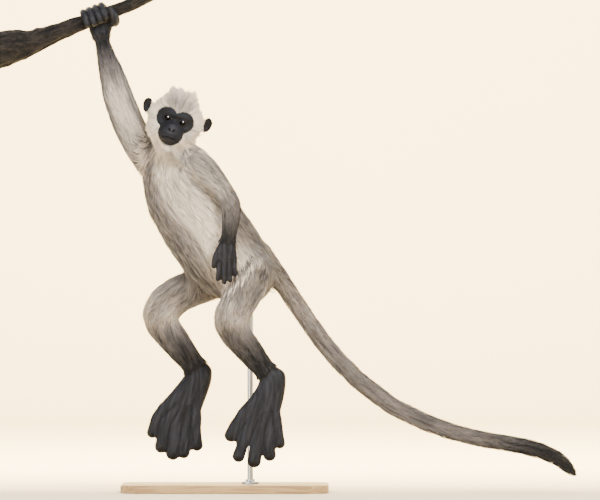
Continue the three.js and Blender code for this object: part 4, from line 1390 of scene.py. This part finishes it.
def grow_coat(name, wanted, count, seed, gather=0.35, stray=0.16, hug=0.85):
    """One piece of the coat: locks rooted all over the wanted triangles of the skin, but not on bare skin."""
    rng = np.random.default_rng(seed)
    sown = int(count * quick_share * 1.6)
    weight = triangle_area * furred * wanted
    picks = rng.choice(len(weight), sown, p=weight / weight.sum())
    shares = rng.dirichlet((1, 1, 1), sown)
    taken = np.flatnonzero(at_roots(hairless, picks, shares) < rng.uniform(0.15, 0.85, sown))
    taken = taken[: int(count * quick_share)]
    picks, shares, count = picks[taken], shares[taken], len(taken)
    roots = at_roots(skin_points, picks, shares)
    ways_out = unit(at_roots(skin_ways_out, picks, shares))
    marks = markings(roots, triangle_line[picks])
    _, wisp = np.unique(np.floor(marks["grain"] / WISP), axis=0, return_inverse=True)
    wisp = wisp.reshape(-1)
    in_wisp = np.bincount(wisp)
    wisp_middle = np.stack([np.bincount(wisp, column) for column in roots.T], axis=1) / in_wisp[:, None]
    wisp_luck = rng.uniform(-1, 1, (len(in_wisp), 3))[wisp]
    luck = rng.uniform(-1, 1, (count, 4))
    loose = (luck[:, 3] > 1 - 2 * STRAYS).astype(float)
    lie = laid_flat(at_roots(hair_lie, picks, shares), ways_out)
    aside = np.cross(ways_out, lie)
    lean = stray * (LEAN * luck[:, :1] * (1 + loose[:, None]) + LEAN * wisp_luck[:, :1])
    hang, upright = at_roots(chin, picks, shares)[:, None], at_roots(crown, picks, shares)[:, None]
    lie = unit(lie + lean * aside + 1.6 * hang * (BEARD_HANGS - lie) + 0.45 * upright * ways_out)
    aside = unit(np.cross(ways_out, lie))
    length = at_roots(hair_length, picks, shares) * MM * (1 + 0.2 * luck[:, 1] + 0.14 * wisp_luck[:, 1])
    for heart, across, up in ear_outlines:
        tips = roots + lie * length[:, None] - heart
        length = length * (1 - SHORT_OF_EAR * ease(-np.hypot(tips @ across, tips @ up), -1.4, -1.05))
    width = at_roots(hair_width, picks, shares) * MM * (1 + 0.2 * luck[:, 2]) / math.sqrt(quick_share)
    rise = at_roots(depth, picks, shares) * MM * (0.64 + 0.28 * luck[:, 0] + 0.1 * wisp_luck[:, 2]) + 0.5 * MM
    held = hug * (1 - 0.5 * loose) * (1 - 0.9 * np.clip(hang + upright, 0, 1)[:, 0])
    to_wisp = gather * (wisp_middle[wisp] - roots)
    to_wisp = (to_wisp * aside).sum(axis=1, keepdims=True) * aside

    def along_lock(share, risen):
        """The middle of each lock at a share of its length and of its rise."""
        middle = roots + lie * (length * share)[:, None] + ways_out * (rise * risen)[:, None]
        return hugging(middle + to_wisp * share**2, rise * risen, held)

    points = np.empty((count, LOCK_POINTS, 3))
    points[:, 0] = roots - ways_out * 0.5 * MM
    points[:, -1] = along_lock(1, 0.93)
    for ring, (share, risen, wide) in enumerate(LOCK_RINGS):
        middle = along_lock(share, risen)
        for corner, angle in enumerate((90, 210, 330)):
            across, up = math.cos(math.radians(angle)), math.sin(math.radians(angle))
            reach = aside * across + ways_out * up * THIN
            points[:, 1 + 3 * ring + corner] = middle + reach * (width * wide / 2)[:, None]
    faces = (LOCK_FACES[None] + LOCK_POINTS * np.arange(count)[:, None, None]).reshape(-1, 3)

    mesh = bpy.data.meshes.new(name)
    mesh.vertices.add(count * LOCK_POINTS)
    mesh.vertices.foreach_set("co", points.ravel().astype(np.float32))
    mesh.loops.add(faces.size)
    mesh.loops.foreach_set("vertex_index", faces.ravel().astype(np.int32))
    mesh.polygons.add(len(faces))
    mesh.polygons.foreach_set("loop_start", np.arange(0, faces.size, 3, dtype=np.int32))
    mesh.update(calc_edges=True)
    mesh.shade_smooth()
    places = marks["hide"]
    low, high = places.min(axis=0), places.max(axis=0)
    places = 0.004 + 0.992 * (places - low) / (high - low)
    patches = (places[:, None] + LOCK_PATCH[None]).reshape(-1, 2)
    bake_map = mesh.uv_layers.new(name="OFBake")
    bake_map.uv.foreach_set("vector", patches[faces.ravel()].ravel().astype(np.float32))
    for field in ("grain", "soot", "shade"):
        carry(mesh, field, np.repeat(marks[field], LOCK_POINTS, axis=0))
    carry(mesh, "lock", np.repeat(0.5 + 0.3 * luck[:, 0] + 0.2 * wisp_luck[:, 0], LOCK_POINTS))
    carry(mesh, "along", np.tile(LOCK_ALONG, count))
    mesh.materials.append(coat_finish)
    piece = put_in_scene(name, mesh)
    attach(piece, "root")


coat_finish, sockets, paint = new_finish("coat", {"Roughness": 0.75, "Specular IOR Level": 0.15})
along, lock, soot = paint.read("along"), paint.read("lock"), paint.read("soot")
toned = ((1 - lock.step(0.0, 0.45)) * 0.25).between(coat_colour(paint), colour("#6b6058"))
# Painted shade and light: each lock darkens towards its root, where the locks above would shade it, and the
# paler locks grow paler towards their tips, as if lit there.
shaded_roots = ((1 - along.step(0.0, 0.5)) * 0.2).between(toned, colour("#5c534b"))
lit_tips = lock.step(0.45, 1.0) * along.step(0.4, 1.0) * (1 - soot.step(0.0, 0.3)) * 0.4
feed(sockets, "Base Color", lit_tips.between(shaded_roots, colour("#f6ead6")))

body_middle = hide["hide"][line_at == 0][:, 1].mean()
lower_body = hide["hide"][skin_triangles[:, 0], 1] > body_middle
face_edge = (triangle_line == -1) & (near_mask[skin_triangles].mean(axis=1) < FRINGE["reach"])
grow_coat("coat_face", face_edge, 11000, 10, gather=0.2, stray=0.35, hug=0.5)
grow_coat("coat_head", (triangle_line == -1) & ~face_edge, 16500, 11, gather=0.3, stray=0.3, hug=0.6)
grow_coat("coat_chest", (triangle_line == 0) & ~lower_body, 14000, 12)
grow_coat("coat_belly", (triangle_line == 0) & lower_body, 14000, 13)
LIMB_LOCKS = {"arm_right": 13000, "arm_left": 9500, "leg_right": 15000, "leg_left": 15000, "tail": 16500}
for seed, (name, count) in enumerate(LIMB_LOCKS.items(), 20):
    grow_coat("coat_" + name, triangle_line == line_names.index(name), count, seed)

# ---------------------------------------------------------------- the branch
# A dead limb of a forest tree, cut at both ends: rough dark bark in long ridges, worn smoother where it is
# thin, over pale wood that shows with its rings at the two saw cuts.
BARK_RINGS, BARK_SIDES = 260, 120
BARK_HIGH = 2.8 * MM
BRANCH_ENDS = {"thick": 0.022, "thin": 0.012}  # how much of each end's length its middle is taken from
PITH_SLICES = 16
CUT_STEPS = (0.97, 0.93, 0.6, 0.3)  # rings of the sawn face, by their share of its radius
CUT_PROUD = 0.8 * MM
YEAR = 0.0011  # how wide one year's ring is

perch_points, perch_faces = welded("perch_branch")
perch_surface = surface_of(perch_points, perch_faces)
perch_low, perch_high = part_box("perch_branch")
thick_end = perch_points[perch_points[:, 0] < perch_low[0] + BRANCH_ENDS["thick"]].mean(axis=0)
thin_end = perch_points[perch_points[:, 0] > perch_high[0] - BRANCH_ENDS["thin"]].mean(axis=0)
slices = np.linspace(thick_end[0], thin_end[0], PITH_SLICES)
pith = [thick_end]
for left, right in zip(slices[:-2], slices[2:]):
    ring = perch_points[(perch_points[:, 0] > left) & (perch_points[:, 0] < right)]
    pith.append((ring.max(axis=0) + ring.min(axis=0)) / 2 if len(ring) else pith[-1])
pith = np.array(pith + [thin_end])
even_out(pith, 3)
steps = steps_along(pith)
stations = np.linspace(0, steps[-1], BARK_RINGS)
centres = np.stack([np.interp(stations, steps, column) for column in pith.T], axis=1)
ways = unit(np.gradient(centres, axis=0))
level = unit(np.cross(ways, (0, 0, 1)))
upward = np.cross(level, ways)


def bark_height(along, turn, girth):
    """How high the bark stands, from -1 to 1: ridges that wander along the branch and are broken across."""
    where = Vector((along * 12, math.cos(turn) * girth * 52, math.sin(turn) * girth * 52))
    ridge = 1 - 2 * abs(noise.noise(where + Vector((0, 0, 3.7))) * 1.6)
    across = noise.noise(Vector((along * 60, math.cos(turn) * 2.1, math.sin(turn) * 2.1)))
    fine = noise.noise(Vector((along * 70, math.cos(turn) * girth * 190, math.sin(turn) * girth * 190)))
    return 0.75 * ridge + 0.3 * across + 0.35 * fine


bark_points, bark_ridge, bark_grain = [], [], []
for k, (centre, side, rise) in enumerate(zip(centres, level, upward)):
    inner = min(max(k, 1), BARK_RINGS - 2)
    for turn in np.linspace(0, 2 * math.pi, BARK_SIDES, endpoint=False):
        way = side * math.cos(turn) + rise * math.sin(turn)
        hit = perch_surface.ray_cast(Vector(centres[inner]), Vector(way), 0.12)[3]
        girth = hit if hit else 0.02
        height = bark_height(stations[k], turn, girth)
        high = BARK_HIGH * (0.9 * height - 0.25) * min(1.4, girth / 0.025)
        bark_points.append(centre + way * (girth + high))
        bark_ridge.append(height)
        bark_grain.append((stations[k], girth * math.cos(turn), girth * math.sin(turn)))
bark_points = np.array(bark_points).reshape(BARK_RINGS, BARK_SIDES, 3)
girths = np.linalg.norm(bark_points - centres[:, None], axis=2)
girths = (np.roll(girths, 1, axis=1) + 2 * girths + np.roll(girths, -1, axis=1)) / 4
bark_points = centres[:, None] + unit(bark_points - centres[:, None]) * girths[..., None]

bark, sockets, paint = new_finish("bark", {"Roughness": 0.9, "Specular IOR Level": 0.2})
ridge, grain = paint.read("ridge"), paint.read("grain", out=1)
streaks = grain.stretched((0.16, 1, 1)).speckle(420, 4.0, 0.65)
patches = grain.stretched((0.35, 1, 1)).speckle(60, 4.0, 0.6)
bark_colour = streaks.step(0.4, 0.62).between(colour("#0c0a09"), colour("#231f1b"))
bark_colour = (patches.step(0.5, 0.68) * 0.65).between(bark_colour, colour("#0b0a08"))
bark_colour = (ridge.step(0.25, 0.9) * 0.5).between(bark_colour, colour("#302a25"))
bark_colour = (1 - ridge.step(-0.9, -0.05)).between(bark_colour, colour("#0c0a09"))
feed(sockets, "Base Color", bark_colour)
feed(sockets, "Normal", (streaks * 0.8 + place_of(paint).speckle(900, 3.0) * 0.2).bump(0.0035, 1.0))

sawn, sockets, paint = new_finish("sawn_wood", {"Roughness": 0.75, "Specular IOR Level": 0.25})
out_of_pith = paint.read("from_pith")
rings = (out_of_pith + place_of(paint).speckle(40, 2.0) * 0.0016).to_and_fro(YEAR) * 900
wood_colour = rings.step(0.1, 0.9).between(colour("#c9ab80"), colour("#a98455"))
flecks = place_of(paint).speckle(700, 2.0).step(0.55, 0.7)
wood_colour = (flecks * 0.4).between(wood_colour, colour("#7f6243"))
feed(sockets, "Base Color", out_of_pith.step(0.0, 0.003).between(colour("#6d4f33"), wood_colour))
feed(sockets, "Normal", (rings * 0.5 + place_of(paint).speckle(1300, 2.0) * 0.5).bump(0.0006, 0.5))

bark_faces = lathe_faces(BARK_RINGS, BARK_SIDES, False, False)
branch = new_piece("branch_bark", bark_points.reshape(-1, 3).tolist(), bark_faces, bark)
carry(branch.data, "ridge", np.array(bark_ridge))
carry(branch.data, "grain", np.array(bark_grain))
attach(branch, "root")
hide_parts("perch_branch")
for name, k, out in (("thick", 0, -1), ("thin", -1, 1)):
    centre, way = centres[k], out * ways[k]
    rim = bark_points[k] - centre
    rings = [centre + rim] + [centre + rim * share + way * CUT_PROUD for share in CUT_STEPS]
    points = np.concatenate(rings + [(centre + way * CUT_PROUD)[None]])
    faces = lathe_faces(len(rings), BARK_SIDES, False, True)
    faces = turned_over(faces) if out < 0 else faces
    end = new_piece(f"branch_cut_{name}", points.tolist(), faces, sawn, smooth=False)
    carry(end.data, "from_pith", np.linalg.norm(points - centre, axis=1))
    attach(end, "root")

# ---------------------------------------------------------------- the stand
# A flat oiled ash board with rounded corners, a steel collar screwed down on it, and one brushed steel rod
# that stands in the collar and goes up between the legs into the body.
BOARD = {"corner": 0.06, "edge": 0.0035, "across_corner": 14, "across_edge": 5}
ROD = {"sides": 48, "into_body": 0.05, "edge": 0.0008, "off_board": 0.001}
COLLAR = {"wall": 0.0045, "flange": 0.0055}
SCREWS = {"count": 3, "radius": 0.0026, "from_middle": 0.0175, "proud": 0.0003}

ash, sockets, paint = new_finish("oiled_ash", {"Roughness": 0.42, "Specular IOR Level": 0.4})
place = place_of(paint)
bands = place.stretched((1.4, 20, 20)).speckle(2.4, 2.0, 0.4)
figure = (bands * 34).wave() * 0.5 + 0.5
pore = place.stretched((18, 520, 520)).speckle(2.2, 2.0).step(0.56, 0.68)
ash_colour = figure.step(0.2, 1.0).between(colour("#a98a5c"), colour("#8f7148"))
feed(sockets, "Base Color", (pore * 0.5).between(ash_colour, colour("#7f6542")))
feed(sockets, "Roughness", figure * 0.08 + 0.38)
feed(sockets, "Normal", ((1 - pore) * 0.6 + figure * 0.2).bump(0.0005, 0.6))

steel, sockets, paint = new_finish("brushed_steel", {"Metallic": 1.0, "Roughness": 0.35})
brushing = place_of(paint).stretched((900, 900, 60)).speckle(2.0, 2.0)
feed(sockets, "Base Color", brushing.between(colour("#a9a9a6"), colour("#c9c9c6")))
feed(sockets, "Roughness", brushing * 0.2 + 0.26)
feed(sockets, "Normal", brushing.bump(0.0002, 0.5))

base_low, base_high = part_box("stand_base")
half_x, half_y = base_high[0] - BOARD["corner"], base_high[1] - BOARD["corner"]
outline = [
    (cx * half_x, cy * half_y, math.radians(start + 90 * k / BOARD["across_corner"]))
    for cx, cy, start in ((1, 1, 0), (-1, 1, 90), (-1, -1, 180), (1, -1, 270))
    for k in range(BOARD["across_corner"] + 1)
]
edge_turns = np.linspace(0, math.pi / 2, BOARD["across_edge"])
board_levels = [  # the height of each level, and how far in from the edge it lies
    (base_low[2] + BOARD["edge"] * (1 - math.cos(turn)), BOARD["edge"] * (1 - math.sin(turn)))
    for turn in edge_turns
]
board_levels += [(base_high[2] - (z - base_low[2]), inset) for z, inset in board_levels[::-1]]
board_points = [
    (x + (BOARD["corner"] - inset) * math.cos(turn), y + (BOARD["corner"] - inset) * math.sin(turn), z)
    for z, inset in board_levels for x, y, turn in outline
]
around = len(outline)
board_faces = lathe_faces(len(board_levels), around, False, False)
board_faces += [tuple(range(around))[::-1], tuple(range(len(board_points) - around, len(board_points)))]
board = new_piece("stand_board", board_points, board_faces, ash)
board.data.set_sharp_from_angle(angle=math.radians(40))
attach(board, "root")
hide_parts("stand_base")


def turned(name, x, y, profile, finish):
    """A round piece turned about an upright line from its profile of radii and heights, with closed ends."""
    spins = np.linspace(0, 2 * math.pi, ROD["sides"], endpoint=False)
    points = [(x, y, profile[0][1])]
    points += [(x + r * math.cos(t), y + r * math.sin(t), z) for r, z in profile for t in spins]
    points.append((x, y, profile[-1][1]))
    piece = new_piece(name, points, lathe_faces(len(profile), ROD["sides"]), finish)
    piece.data.set_sharp_from_angle(angle=math.radians(35))
    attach(piece, "root")
    return piece


collar_low, collar_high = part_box("stand_collar")
rod_low, rod_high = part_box("stand_rod")
rod_x, rod_y = (rod_low[0] + rod_high[0]) / 2, (rod_low[1] + rod_high[1]) / 2
rod_radius, collar_radius = (rod_high[0] - rod_low[0]) / 2, (collar_high[0] - collar_low[0]) / 2
neck_radius, neck_foot = rod_radius + COLLAR["wall"], collar_low[2] + COLLAR["flange"]
neck_top = collar_high[2]
collar_profile = [  # the flange and its rounded edge, the fillet up to the neck, and the neck's rounded top
    (collar_radius - 0.0004, collar_low[2]),
    (collar_radius, collar_low[2] + 0.0004),
    (collar_radius, neck_foot - 0.0016),
    (collar_radius - 0.0004, neck_foot - 0.0009),
    (collar_radius - 0.0012, neck_foot - 0.0005),
    (neck_radius + 0.0022, neck_foot),
    (neck_radius + 0.0006, neck_foot + 0.0006),
    (neck_radius, neck_foot + 0.002),
    (neck_radius, neck_top - 0.0009),
    (neck_radius - 0.0004, neck_top - 0.0003),
    (neck_radius - 0.001, neck_top),
    (rod_radius, neck_top),
]
collar = turned("stand_socket", rod_x, rod_y, collar_profile, steel)
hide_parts("stand_collar")
rod_top = rod_high[2] + ROD["into_body"]
rod_profile = [
    (rod_radius, collar_low[2] + ROD["off_board"]),
    (rod_radius, rod_top - ROD["edge"]),
    (rod_radius - ROD["edge"], rod_top),
]
rod = turned("stand_upright", rod_x, rod_y, rod_profile, steel)
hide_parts("stand_rod")
for k in range(SCREWS["count"]):
    turn = 2 * math.pi * (k + 0.5) / SCREWS["count"]
    x = rod_x + SCREWS["from_middle"] * math.cos(turn)
    y = rod_y + SCREWS["from_middle"] * math.sin(turn)
    top, r = neck_foot + SCREWS["proud"], SCREWS["radius"]
    turned(f"stand_screw_{k + 1}", x, y, [  # a low domed head with a round socket in it
        (r, top - 0.002), (r, top), (r * 0.9, top + 0.0006),
        (r * 0.55, top + 0.0009), (r * 0.5, top + 0.0002), (r * 0.1, top),
    ], steel)
